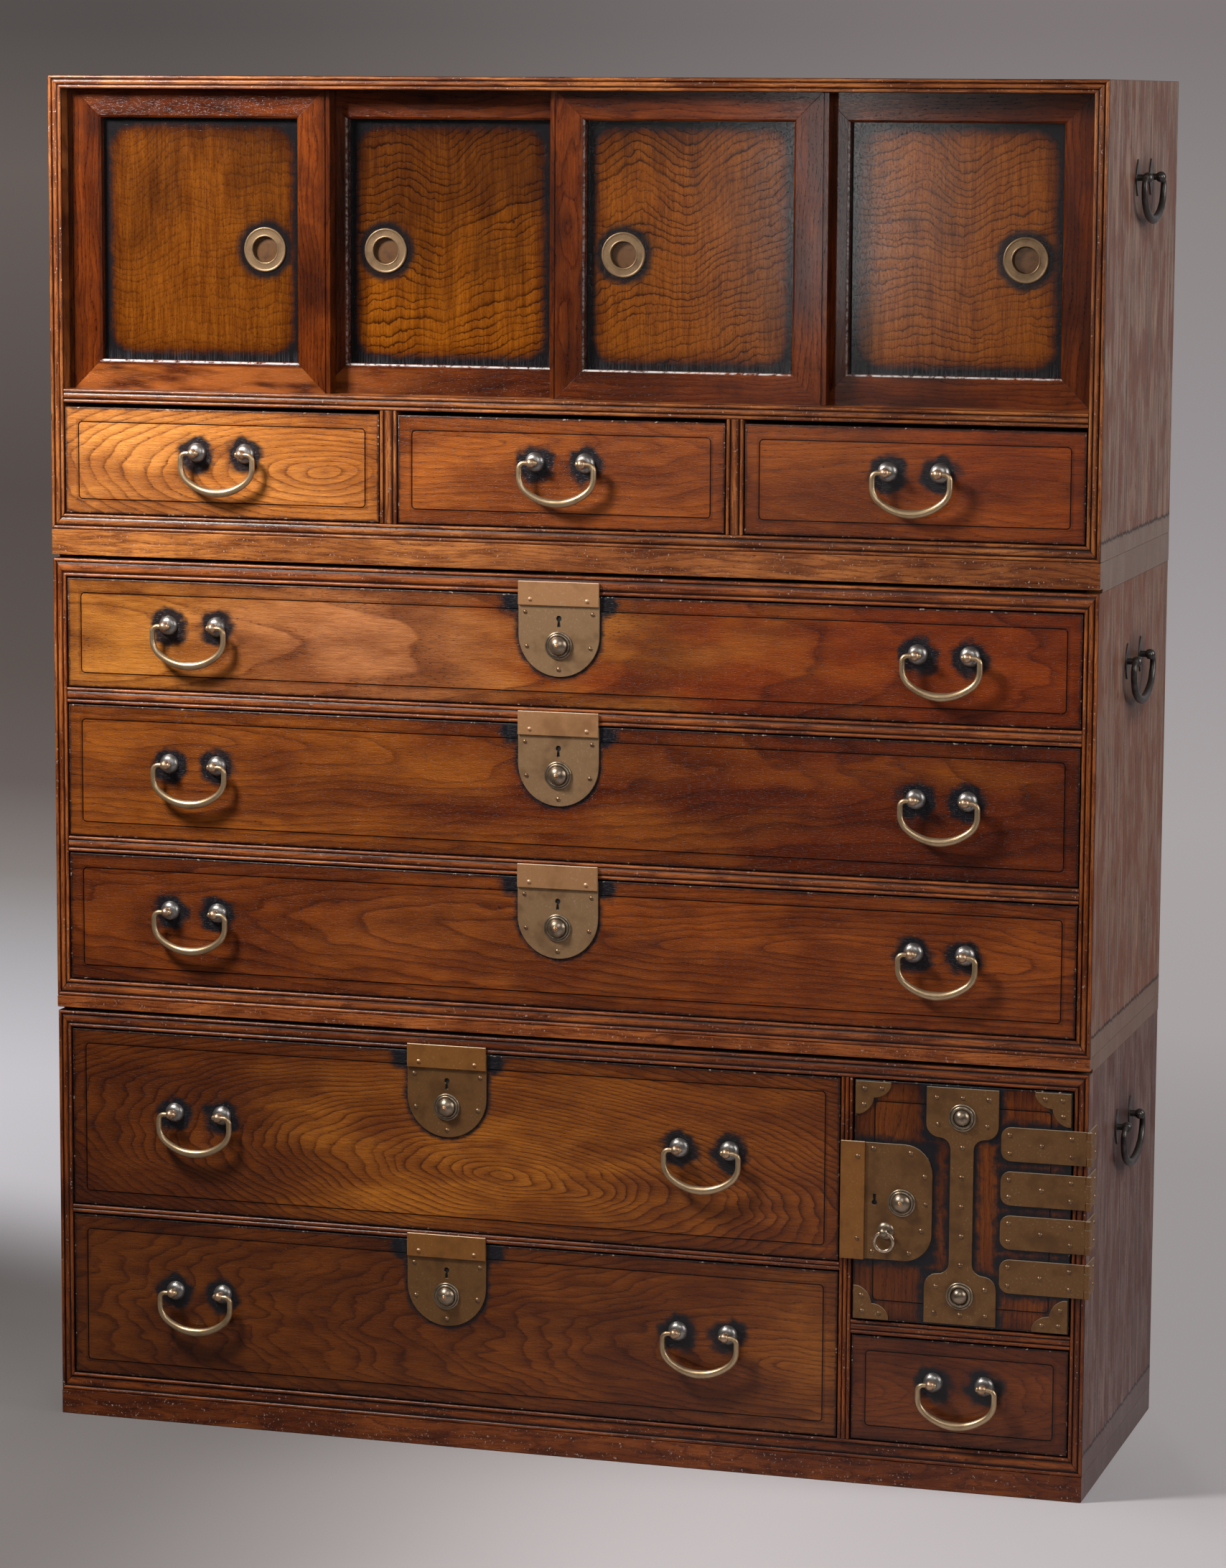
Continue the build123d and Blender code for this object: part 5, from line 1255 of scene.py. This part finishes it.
def drawer(name, look, tones, lines, bails, has_lock, bright):
    """A drawer: scratched front, plain box, bails and, on the large ones, a lock."""
    low, high = box_of(name)
    y = low[1]
    pivots = [pivot_of(f"{bail}_swing") for bail in bails]
    seats = [(x + side * BAIL_SPACING / 2.0, z) for x, _, z in pivots for side in (-1, 1)]
    blots = [(x, z - 2.0, 21.5, 1.05) for x, z in seats]
    shields = []
    if has_lock:
        button_low, button_high = box_of(f"{name}_lock_button")
        lock_x = (button_low[0] + button_high[0]) / 2.0
        button_z = (button_low[2] + button_high[2]) / 2.0
        cover_top = button_z + BUTTON_DROP
        shields = [(lock_x, cover_top - ROUND_DROP, LOCK_HALF)]
    wood = front_wood(f"{name}_front_wood", low, high, look, tones, lines, blots, shields, bright=bright)
    bm = bmesh.new()
    scratched_front(bm, low, high, SCRATCH_INSET)
    front = piece(f"{name}_front", bm, name, wood)
    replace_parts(front, name)
    if has_lock:
        drill_hole(front, BUTTON_HOLE, 28.0, (lock_x, y, button_z), 32)
    drawer_box(name, low, high)
    bail_mount(name, seats, y, name, f"{name}_fittings")
    for bail, pivot in zip(bails, pivots):
        hang(f"{bail}_bar", DRAWER_BAIL, Matrix.Translation(pivot), bail, BAIL, bail, 3.1, EYE_BALL,
             BAIL_SPACING)
    if has_lock:
        metals = (PLATE, COVER) if name.startswith("middle") else (DIM_PLATE, DIM_COVER)
        drawer_lock(name, lock_x, y, high[2], cover_top, *metals)
        lock_button(f"{name}_button", lock_x, y - PLATE_THICK, button_z, f"{name}_button", f"{name}_lock_button")


def board_look(u, v, depth, slope, ring, sway, seed, tilt=0.0, jag=0.35):
    """The growth rings of one board, as growth_rings takes them."""
    return {"heart": (u, v, depth), "slope": slope, "ring": ring, "sway": sway, "tilt": tilt, "jag": jag,
            "seed": seed}


def pair_of_bails(name):
    """The two bails of a wide drawer."""
    return f"{name}_bail_left", f"{name}_bail_right"


# name, growth rings, wood at the left and at the right, strength of the lines, bails, lock, and where a pale
# patch lies: its centre, reach, stretch and colour
DRAWERS = (
    ("upper_drawer_1", board_look(-265.0, 1108.0, 4.0, 0.30, 6.5, 9.0, 2.0),
     ((0.520, 0.205, 0.050), (0.420, 0.140, 0.024)), 0.75, ("upper_drawer_1_bail",), False, None),
    ("upper_drawer_2", board_look(60.0, 1150.0, 26.0, 0.14, 8.0, 20.0, 5.0),
     ((0.300, 0.080, 0.011), (0.235, 0.056, 0.007)), 0.5, ("upper_drawer_2_bail",), False, None),
    ("upper_drawer_3", board_look(640.0, 1108.0, 12.0, 0.12, 8.0, 22.0, 11.0),
     ((0.215, 0.052, 0.006), (0.215, 0.040, 0.003)), 0.35, ("upper_drawer_3_bail",), False, None),
    ("middle_drawer_1", board_look(-700.0, 905.0, 0.0, 0.15, 21.0, 18.0, 16.0, 0.02, 0.2),
     ((0.380, 0.138, 0.022), (0.205, 0.033, 0.0015)), 0.62, pair_of_bails("middle_drawer_1"), True,
     (-240.0, 905.0, 270.0, 1.6, (0.372, 0.138, 0.052))),
    ("middle_drawer_2", board_look(-455.0, 798.0, 4.0, 0.09, 10.0, 20.0, 21.0, 0.0, 0.25),
     ((0.245, 0.066, 0.006), (0.115, 0.018, 0.0012)), 0.6, pair_of_bails("middle_drawer_2"), True, None),
    ("middle_drawer_3", board_look(395.0, 598.0, 5.0, 0.085, 8.0, 16.0, 27.0, 0.0, 0.25),
     ((0.150, 0.032, 0.003), (0.245, 0.056, 0.006)), 0.75, pair_of_bails("middle_drawer_3"), True,
     (-110.0, 598.0, 250.0, 1.7, (0.235, 0.062, 0.009))),
    ("lower_drawer_1", board_look(-45.0, 320.0, 3.0, 0.27, 4.7, 13.0, 33.0, -0.07, 0.22),
     ((0.120, 0.028, 0.0022), (0.205, 0.054, 0.005)), 0.95, pair_of_bails("lower_drawer_1"), True,
     (-95.0, 325.0, 350.0, 2.0, (0.345, 0.112, 0.011))),
    ("lower_drawer_2", board_look(330.0, 135.0, 8.0, 0.22, 7.0, 24.0, 40.0),
     ((0.120, 0.030, 0.0025), (0.165, 0.042, 0.0035)), 0.75, pair_of_bails("lower_drawer_2"), True,
     (345.0, 135.0, 190.0, 1.0, (0.250, 0.078, 0.009))),
    ("corner_drawer", board_look(430.0, 112.0, 18.0, 0.25, 6.5, 18.0, 48.0),
     ((0.130, 0.030, 0.004), (0.150, 0.034, 0.004)), 0.5, ("corner_drawer_bail",), False, None),
)
for row in DRAWERS:
    drawer(*row)


# ================================================================ safe door
leaf_low, leaf_high = box_of("safe_door")
leaf_x, leaf_z = (leaf_low[0] + leaf_high[0]) / 2.0, (leaf_low[2] + leaf_high[2]) / 2.0
leaf_y = leaf_low[1]
face_y = leaf_y - PLATE_THICK                 # face of the leaf's iron plates
safe_left = DIVIDER_LEFT + DIVIDER            # left side of the opening
SAFE_INSET = 21.0                             # of the line cut round the leaf
button_x, button_z = safe_left + 57.0, leaf_z
lock_right, lock_low, lock_high = safe_left + 91.0, leaf_z - 65.5, leaf_z + 65.5
STRAP_HALF, STRAP_WAIST, STRAP_TOP, STRAP_STRAIGHT, STRAP_SHOULDER = 40.5, 13.0, 132.5, 41.0, 15.0
HINGE_LEVELS = [leaf_z + (count - 1.5) * 49.3 for count in range(4)]
HINGE_HEIGHT, HINGE_REACH, HINGE_THICK = 37.8, 98.0, 2.0
KNUCKLE, PIN = 3.0, 1.3                       # radii
pin_x, pin_y, _ = pivot_of("safe_door_hinge")


def iron_places():
    """Where iron lies on the leaf and has stained it: lock plate, strap, shields, hinges and corner plates."""
    shields_z = STRAP_TOP - STRAP_STRAIGHT - STRAP_SHOULDER
    places = [(leaf_low[0], lock_low, lock_right, lock_high),
              (leaf_x - STRAP_WAIST, leaf_z - STRAP_TOP, leaf_x + STRAP_WAIST, leaf_z + STRAP_TOP),
              (leaf_x - STRAP_HALF, leaf_z + shields_z, leaf_x + STRAP_HALF, leaf_high[2]),
              (leaf_x - STRAP_HALF, leaf_low[2], leaf_x + STRAP_HALF, leaf_z - shields_z)]
    places += [(pin_x - HINGE_REACH, z - HINGE_HEIGHT / 2, leaf_high[0], z + HINGE_HEIGHT / 2)
               for z in HINGE_LEVELS]
    corners = [(leaf_x + side * 122.0, leaf_z + end * 135.0) for side in (-1, 1) for end in (-1, 1)]
    return places + [(x - 20.0, z - 20.0, x + 20.0, z + 20.0) for x, z in corners]


def safe_leaf():
    """The wooden leaf, with a hole for the button of its lock."""
    wood = front_wood("safe_leaf_wood", leaf_low, leaf_high, board_look(260.0, 430.0, 16.0, 0.12, 7.0, 20.0, 55.0),
                      ((0.125, 0.032, 0.004), (0.145, 0.035, 0.0035)), 0.6, plates=iron_places(), vertical=True,
                      scratch=SAFE_INSET, dirt=0.9)
    bm = bmesh.new()
    scratched_front(bm, leaf_low, leaf_high, SAFE_INSET)
    leaf = piece("safe_leaf", bm, "safe_door", wood)
    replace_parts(leaf, "safe_door")
    drill_hole(leaf, BUTTON_HOLE, 28.0, (button_x, leaf_y, button_z), 32)


def safe_lock():
    """The D-shaped lock plate with its keyhole, cover bar, rivets, ring and button."""
    left, corner = leaf_low[0] + 1.2, 32.0
    bm = bmesh.new()
    pen = Pen(bm, left, lock_low).line(lock_right - corner, lock_low)
    pen.arc(lock_right - corner, lock_low + corner, 90.0, 8).line(lock_right, lock_high - corner)
    pen.arc(lock_right - corner, lock_high - corner, 90.0, 8).line(left, lock_high)
    put(bm, pen.thick(PLATE_THICK), flat_front(leaf_y))
    soften(bm, 0.55)
    plate = piece("safe_lock_plate", bm, "safe_door", DIM_PLATE)
    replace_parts(plate, "safe_door_fittings")
    cut_keyhole(plate, "safe", safe_left + 26.0, leaf_z - 1.5, leaf_y, "safe_door", False)
    cover_left, cover_y = safe_left - 12.5, face_y - COVER_THICK
    bm = bmesh.new()
    solid_box(bm, (cover_left, cover_y, lock_low - 1.0), (cover_left + 27.5, face_y, lock_high + 1.0))
    soften(bm, 0.8, segments=3)
    piece("safe_lock_cover", bm, "safe_door", DIM_COVER)
    spots = [(lock_right - 67, lock_high - 7), (lock_right - 25, lock_high - 9), (lock_right - 9, lock_high - 35),
             (lock_right - 7, leaf_z), (lock_right - 12, lock_low + 35), (lock_right - 26, lock_low + 9),
             (lock_right - 67, lock_low + 8)]
    rivets("safe_lock_rivets", spots, face_y, "safe_door")
    rivets("safe_cover_rivets", [(cover_left + 19.5, lock_high - 16), (cover_left + 19.5, lock_low + 23)], cover_y,
           "safe_door")
    lock_ring("safe", button_x, face_y, button_z, "safe_door")
    lock_button("safe_button", button_x, face_y, button_z, "safe_lock_button", "safe_door_lock_button")


def safe_ring():
    """The pull ring on the lock plate, and the drilled eye that it hangs in."""
    x, y, z = pivot_of("safe_ring_swing")
    ring, wire = 10.5, 2.0
    bm = bmesh.new()
    eye_post(bm, 8.0, 3.0, 5.5, knob_at(x, face_y, z))
    pen = Pen(bm, 0.0, 0.0).line(9.5, 0.0).bow(3.2, 2.8, 7.0, 2.2, 5).line(0.0, 2.8)
    turned(bm, pen, knob_at(x, face_y, z), 24)
    drill_hole(piece("safe_ring_eye", bm, "safe_door", PEWTER, angle=60.0), 3.3, 14.0, (x, y, z), 24, "Y")
    bm = bmesh.new()
    upright_turn = Matrix.Rotation(math.pi / 2, 4, "X")
    bmesh.ops.create_circle(bm, segments=16, radius=wire, matrix=Matrix.Translation((ring, 0.0, 0.0)) @ upright_turn)
    bmesh.ops.spin(bm, geom=bm.verts[:] + bm.edges[:], cent=(0, 0, 0), axis=(0, 0, 1), angle=2 * math.pi, steps=48,
                   use_merge=True)
    put(bm, bm.verts, Matrix.Translation((x, y, z - ring)) @ upright_turn)
    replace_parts(piece("safe_pull_ring", bm, "safe_ring", RING, angle=60.0), "safe_door_ring")


def shield_strap():
    """The tall strap with a shield at each end, its bosses and rivets."""
    half, waist, top, straight, shoulder = STRAP_HALF, STRAP_WAIST, STRAP_TOP, STRAP_STRAIGHT, STRAP_SHOULDER
    hollow = half - waist - shoulder
    bm = bmesh.new()
    pen = Pen(bm, -half, -top).line(half, -top)
    low, high = -top + straight, top - straight
    pen.line(half, low).arc(half - shoulder, low, 90.0, 6)
    pen.arc(half - shoulder, low + shoulder + hollow, -90.0, 6).line(waist, high - shoulder - hollow)
    pen.arc(half - shoulder, high - shoulder - hollow, -90.0, 6).arc(half - shoulder, high, 90.0, 6)
    pen.line(half, top).line(-half, top).line(-half, high).arc(-half + shoulder, high, 90.0, 6)
    pen.arc(-half + shoulder, high - shoulder - hollow, -90.0, 6).line(-waist, low + shoulder + hollow)
    pen.arc(-half + shoulder, low + shoulder + hollow, -90.0, 6).arc(-half + shoulder, low, 90.0, 6)
    put(bm, pen.thick(PLATE_THICK), flat_front(0.0))
    bmesh.ops.translate(bm, vec=(leaf_x, leaf_y, leaf_z), verts=bm.verts)
    soften(bm, 0.55)
    piece("safe_strap", bm, "safe_door", DIM_PLATE)
    spots = [(0.0, step * 33.0) for step in (-2, -1, 0, 1, 2)]
    for end in (-1, 1):
        spots += [(side * 29.0, end * (top - 11.5)) for side in (-1, 1)]
        spots += [(side * 27.5, end * (top - 41.0)) for side in (-1, 1)] + [(0.0, end * (top - 10.5))]
    rivets("safe_strap_rivets", [(leaf_x + u, leaf_z + v) for u, v in spots], face_y, "safe_door")
    rings, bosses = bmesh.new(), bmesh.new()
    for end in (-1, 1):
        place = knob_at(leaf_x, face_y, leaf_z + end * (top - 32.5))
        washer_ring(rings, place, 9.6, 15.5)
        dome(bosses, 9.5, 9.0, place, steps=40, rings=9)
    piece("safe_boss_rings", rings, "safe_door", PEWTER, angle=50.0)
    piece("safe_bosses", bosses, "safe_door", PEWTER, angle=60.0)


def corner_plates():
    """Four corner plates, each with two lobes that meet in a cusp."""
    w, h, t, margin = 40.0, 37.0, 1.6, 1.2
    spots = []
    bm = bmesh.new()
    for sx in (1, -1):
        for sz in (1, -1):
            x = leaf_low[0] + margin if sx > 0 else leaf_high[0] - margin
            z = leaf_low[2] + margin if sz > 0 else leaf_high[2] - margin
            pen = Pen(bm, 0.0, 0.0).line(w, 0.0).line(w, h * 0.12).bow(w * 0.52, h * 0.48, w * 0.84, h * 0.36, 7)
            pen.bow(w * 0.12, h, w * 0.38, h * 0.82, 7).line(0.0, h)
            verts = pen.thick(t)
            put(bm, verts, Matrix.Translation((x, leaf_y, z)) @ Matrix.Diagonal((sx, 1, sz, 1)) @ flat_front(0.0))
            spots += [(x + sx * w * u, z + sz * h * v) for u, v in ((0.25, 0.22), (0.72, 0.2), (0.22, 0.7))]
    soften(bm, 0.5)
    piece("safe_corner_plates", bm, "safe_door", DIM_PLATE)
    rivets("safe_corner_rivets", spots, leaf_y - t, "safe_door")


def strap_hinges():
    """Four strap hinges with their knuckles, and the leaves on the side board."""
    side, front = CHESTS["lower"]["half"], CHESTS["lower"]["front"]
    clear, corner, gap, leaf_thick = 3.4, 11.0, 0.4, 1.8
    left, tongue = pin_x - HINGE_REACH, HINGE_HEIGHT / 4.0
    spots, side_spots = [], []
    straps, leaves = bmesh.new(), bmesh.new()
    for z in HINGE_LEVELS:
        z0, z1 = z - HINGE_HEIGHT / 2.0, z + HINGE_HEIGHT / 2.0
        pen = Pen(straps, pin_x - clear, z0).line(pin_x - clear, z - tongue).line(pin_x, z - tongue)
        pen.line(pin_x, z + tongue).line(pin_x - clear, z + tongue).line(pin_x - clear, z1)
        pen.line(left + corner, z1).arc(left + corner, z1 - corner, 90.0, 6)
        pen.line(left, z0 + corner).arc(left + corner, z0 + corner, 90.0, 6)
        put(straps, pen.thick(HINGE_THICK), flat_front(leaf_y))
        spots += [(left + 9, z + 10), (left + 9, z - 10), (left + 45, z), (left + 78, z + 10), (left + 78, z - 10)]
        rod(straps, KNUCKLE, 2 * tongue, (pin_x, pin_y, z), 24)
        solid_box(leaves, (side, pin_y + clear, z0), (side + leaf_thick, front + 42.0, z1))
        for low, high in ((z0, z - tongue - gap), (z + tongue + gap, z1)):
            solid_box(leaves, (side, pin_y, low), (side + leaf_thick, pin_y + clear, high))
            rod(leaves, KNUCKLE, high - low, (pin_x, pin_y, (low + high) / 2.0), 24)
        rod(leaves, PIN, HINGE_HEIGHT, (pin_x, pin_y, z), 16)
        side_spots += [(front + 14, z), (front + 34, z + 10), (front + 34, z - 10)]
    soften(straps, 0.45)
    piece("safe_strap_hinges", straps, "safe_door", DIM_PLATE)
    rivets("safe_hinge_rivets", spots, leaf_y - HINGE_THICK, "safe_door")
    soften(leaves, 0.4)
    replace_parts(piece("safe_hinge_leaves_iron", leaves, "cabinet", DIM_PLATE), "safe_hinge_leaves")
    turn = Matrix.Translation((side + leaf_thick, 0.0, 0.0)) @ Matrix.Rotation(math.pi / 2, 4, "Z")
    rivets("hinge_leaf_rivets", side_spots, 0.0, "cabinet", matrix=turn)


safe_leaf()
safe_lock()
safe_ring()
shield_strap()
corner_plates()
strap_hinges()


# ================================================================ carrying bails on the sides
def side_bail(chest, side, word):
    """An iron bail on one side of a chest, with its two eye posts on pointed seat plates."""
    name = f"{chest}_side_bail_{word}"
    x, y, z = pivot_of(f"{name}_swing")
    turn = Matrix.Rotation(side * math.pi / 2, 4, "Z")
    hang(f"{name}_bar", SIDE_BAIL, Matrix.Translation((x, y, z)) @ turn, name, IRON, name, 4.0,
         SIDE_EYE_BALL, SIDE_SPACING)
    on_side = Matrix.Translation((side * CHESTS[chest]["half"], 0.0, z)) @ turn
    bm = bmesh.new()
    for offset in (-SIDE_SPACING / 2.0, SIDE_SPACING / 2.0):
        pen = Pen(bm, 0.0, -20.0).bow(10.0, 0.0, 7.2, -8.4, 6).bow(0.0, 20.0, 7.2, 8.4, 6)
        pen.bow(-10.0, 0.0, -7.2, 8.4, 6).bow(-0.15, -19.8, -7.2, -8.4, 6)
        put(bm, pen.thick(1.6), on_side @ Matrix.Translation((offset, 0, 0)) @ flat_front(0.0))
        eye_post(bm, 12.0, 3.6, SIDE_EYE_BALL, on_side @ knob_at(offset, 0, 0))
    soften(bm, 0.5, angle=60.0)
    return piece(f"{name}_seats", bm, "cabinet", IRON, angle=50.0)


side_seats = [side_bail(chest, side, word) for chest in CHESTS for side, word in ((-1, "left"), (1, "right"))]
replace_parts(side_seats[-1], "side_bail_posts")


# ================================================================ room, light and camera
# Painted light and shade of the wall by height, as the camera sees it at the left and at the right.
WALL_HEIGHT = 2000.0
LEFT_WALL_LIGHT = ((0.0, (0.585, 0.565, 0.60)), (0.06, (0.41, 0.395, 0.415)), (0.12, (0.24, 0.215, 0.205)),
             (0.19, (0.136, 0.112, 0.105)), (0.28, (0.108, 0.088, 0.080)), (0.43, (0.092, 0.074, 0.069)),
             (0.70, (0.133, 0.110, 0.101)), (0.82, (0.091, 0.080, 0.077)))
RIGHT_WALL_LIGHT = ((0.0, (0.325, 0.300, 0.300)), (0.06, (0.386, 0.355, 0.358)), (0.20, (0.396, 0.366, 0.370)),
              (0.45, (0.314, 0.288, 0.300)), (0.68, (0.262, 0.238, 0.237)), (0.82, (0.212, 0.186, 0.188)))
# Colour of the floor: darker at the left as painted shade, pale at the right.
FLOOR_SHADE_TONES = (0.185, 0.172, 0.172), (0.54, 0.515, 0.535)


def backdrop_paint():
    """Pale floor and grey wall. The camera sees the wall and the far floor glowing in painted light and shade, and
    the near floor as it is lit, its colour darkened at the left as painted shade. From behind, the camera looks
    through."""
    paint = Paint("pale_backdrop")
    x, y, z = paint.place()
    cloud = paint.noise(x / 900.0, y / 900.0, z / 900.0, 2.0)
    drifting = x + (cloud - 0.5) * 200.0
    diffuse = paint.node("ShaderNodeBsdfDiffuse",
                         inputs={"Color": paint.mix(drifting.rise(-480.0, 360.0), *FLOOR_SHADE_TONES)})
    height = z / WALL_HEIGHT
    # painted light and shade of the wall, which the camera sees glowing
    painted_wall_light = paint.mix(drifting.rise(-1650.0, 150.0), height.ramp(*LEFT_WALL_LIGHT), height.ramp(*RIGHT_WALL_LIGHT))
    glow = paint.node("ShaderNodeEmission", inputs={"Color": painted_wall_light, "Strength": 1.0})
    camera_ray = paint.node("ShaderNodeLightPath", output=0)
    far_off = abs(x).rise(1900.0, 2900.0).at_least(y.fall(-2900.0, -1900.0))
    wall = camera_ray * z.rise(0.0, 60.0).at_least((y + x * 0.4).rise(-50.0, 500.0)).at_least(far_off)
    front = paint.node("ShaderNodeMixShader", inputs={0: wall, 1: diffuse, 2: glow})
    behind = camera_ray * paint.node("ShaderNodeNewGeometry", output=6)
    clear = paint.node("ShaderNodeBsdfTransparent")
    paint.node_output(paint.node("ShaderNodeMixShader", inputs={0: behind, 1: front, 2: clear}))
    return paint.material


def room():
    """A pale floor that curves up into a grey wall."""
    level_y, wall_y, bend, wall_top, half_width = -0.2, 2300.0, 800.0, 5200.0, 8000.0
    bm = bmesh.new()
    pen = Pen(bm, -7500.0, level_y).line(wall_y - bend, level_y).arc(wall_y - bend, bend + level_y, 90.0, 12)
    pen.line(wall_y, wall_top)
    made = bmesh.ops.extrude_edge_only(bm, edges=pen.edges)
    moved = [item for item in made["geom"] if isinstance(item, bmesh.types.BMVert)]
    bmesh.ops.translate(bm, vec=(0.0, 0.0, 2.0 * half_width), verts=moved)
    bmesh.ops.translate(bm, vec=(0.0, 0.0, -half_width), verts=bm.verts)
    put(bm, bm.verts, Matrix(((0, 0, 1, 0), (1, 0, 0, 0), (0, 1, 0, 0), (0, 0, 0, 1))))
    bmesh.ops.scale(bm, vec=(MM, MM, MM), verts=bm.verts)
    bmesh.ops.recalc_face_normals(bm, faces=bm.faces)
    if sum(face.normal.z for face in bm.faces) < 0.0:
        bmesh.ops.reverse_faces(bm, faces=bm.faces)
    mesh = bpy.data.meshes.new("sweep")
    bm.to_mesh(mesh)
    bm.free()
    for polygon in mesh.polygons:
        polygon.use_smooth = True
    sweep = bpy.data.objects.new("sweep", mesh)
    bpy.context.scene.collection.objects.link(sweep)
    mesh.materials.append(backdrop_paint())


# Lights and camera are placed in metres. Each light has its place, what it looks at, its width and height, power in
# watts, colour and spread in degrees.
LIGHTS = (
    ("key_light", (-1.0, -1.05, 2.03), (-0.3, -0.2, 0.95), (0.35, 0.35), 48.0, (1.0, 0.97, 0.93), 180.0),
    ("fill_light", (0.9, -1.9, 2.0), (0.2, -0.2, 0.7), (0.8, 0.8), 10.0, (1.0, 0.98, 0.96), 180.0),
    ("sheen_light", (-0.19, -2.2, 1.40), (0.33, -0.2, 1.43), (0.12, 0.40), 2.3, (1.0, 0.98, 0.96), 180.0),
    ("side_light", (3.3, -0.3, 2.0), (0.6, 0.0, 0.9), (1.4, 1.8), 62.0, (1.0, 0.98, 0.97), 180.0),
    ("back_light", (-0.3, 2.1, 0.85), (0.0, 0.2, 0.8), (0.5, 0.8), 12.0, (1.0, 0.98, 0.97), 60.0),
)
SKY_TONE = (0.80, 0.79, 0.80, 1.0)
AMBIENT, SEEN_SKY = 0.04, 0.36                # strength of the sky as light, and what the camera sees more of it
CAMERA_PLACE = (1.590, -5.289, 1.523)
YAW, PITCH, ROLL = math.radians(16.71), math.radians(8.04), math.radians(0.33)
LENS, FILM_HEIGHT = 111.1, 36.0


def soft_light(name, place, target, size, power, colour, spread):
    """A rectangular lamp that looks at a target."""
    lamp = bpy.data.lights.new(name, "AREA")
    lamp.spread = math.radians(spread)
    lamp.shape = "RECTANGLE"
    lamp.size, lamp.size_y = size
    lamp.energy = power
    lamp.color = colour
    made = bpy.data.objects.new(name, lamp)
    made.location = place
    made.rotation_euler = (Vector(target) - Vector(place)).to_track_quat("-Z", "Y").to_euler()
    bpy.context.scene.collection.objects.link(made)


def sky():
    """A dim even light from all round, which the camera sees as a grey backdrop."""
    world = bpy.data.worlds.new("studio")
    bpy.context.scene.world = world
    world.use_nodes = True
    tree = world.node_tree
    background = tree.nodes["Background"]
    background.inputs[0].default_value = SKY_TONE
    sight = tree.nodes.new("ShaderNodeLightPath")
    strength = tree.nodes.new("ShaderNodeMath")
    strength.operation = "MULTIPLY_ADD"
    strength.inputs[1].default_value = SEEN_SKY
    strength.inputs[2].default_value = AMBIENT
    tree.links.new(sight.outputs[0], strength.inputs[0])
    tree.links.new(strength.outputs[0], background.inputs[1])


def stand_camera():
    """The camera, turned left by its yaw, down by its pitch and a little about its own axis."""
    forward = Vector((-math.sin(YAW) * math.cos(PITCH), math.cos(YAW) * math.cos(PITCH), -math.sin(PITCH)))
    right = Vector((math.cos(YAW), math.sin(YAW), 0.0))
    up = right.cross(forward)
    camera = bpy.data.cameras.new("camera")
    camera.sensor_fit = "VERTICAL"
    camera.sensor_height = FILM_HEIGHT
    camera.lens = LENS
    camera.clip_end = 60.0
    holder = bpy.data.objects.new("camera", camera)
    rolled_right = right * math.cos(ROLL) + up * math.sin(ROLL)
    rolled_up = up * math.cos(ROLL) - right * math.sin(ROLL)
    turn = Matrix((rolled_right, rolled_up, -forward)).transposed().to_4x4()
    holder.matrix_world = Matrix.Translation(CAMERA_PLACE) @ turn
    bpy.context.scene.collection.objects.link(holder)
    bpy.context.scene.camera = holder


room()
for row in LIGHTS:
    soft_light(*row)
sky()
stand_camera()
bpy.context.scene.view_settings.view_transform = "Standard"
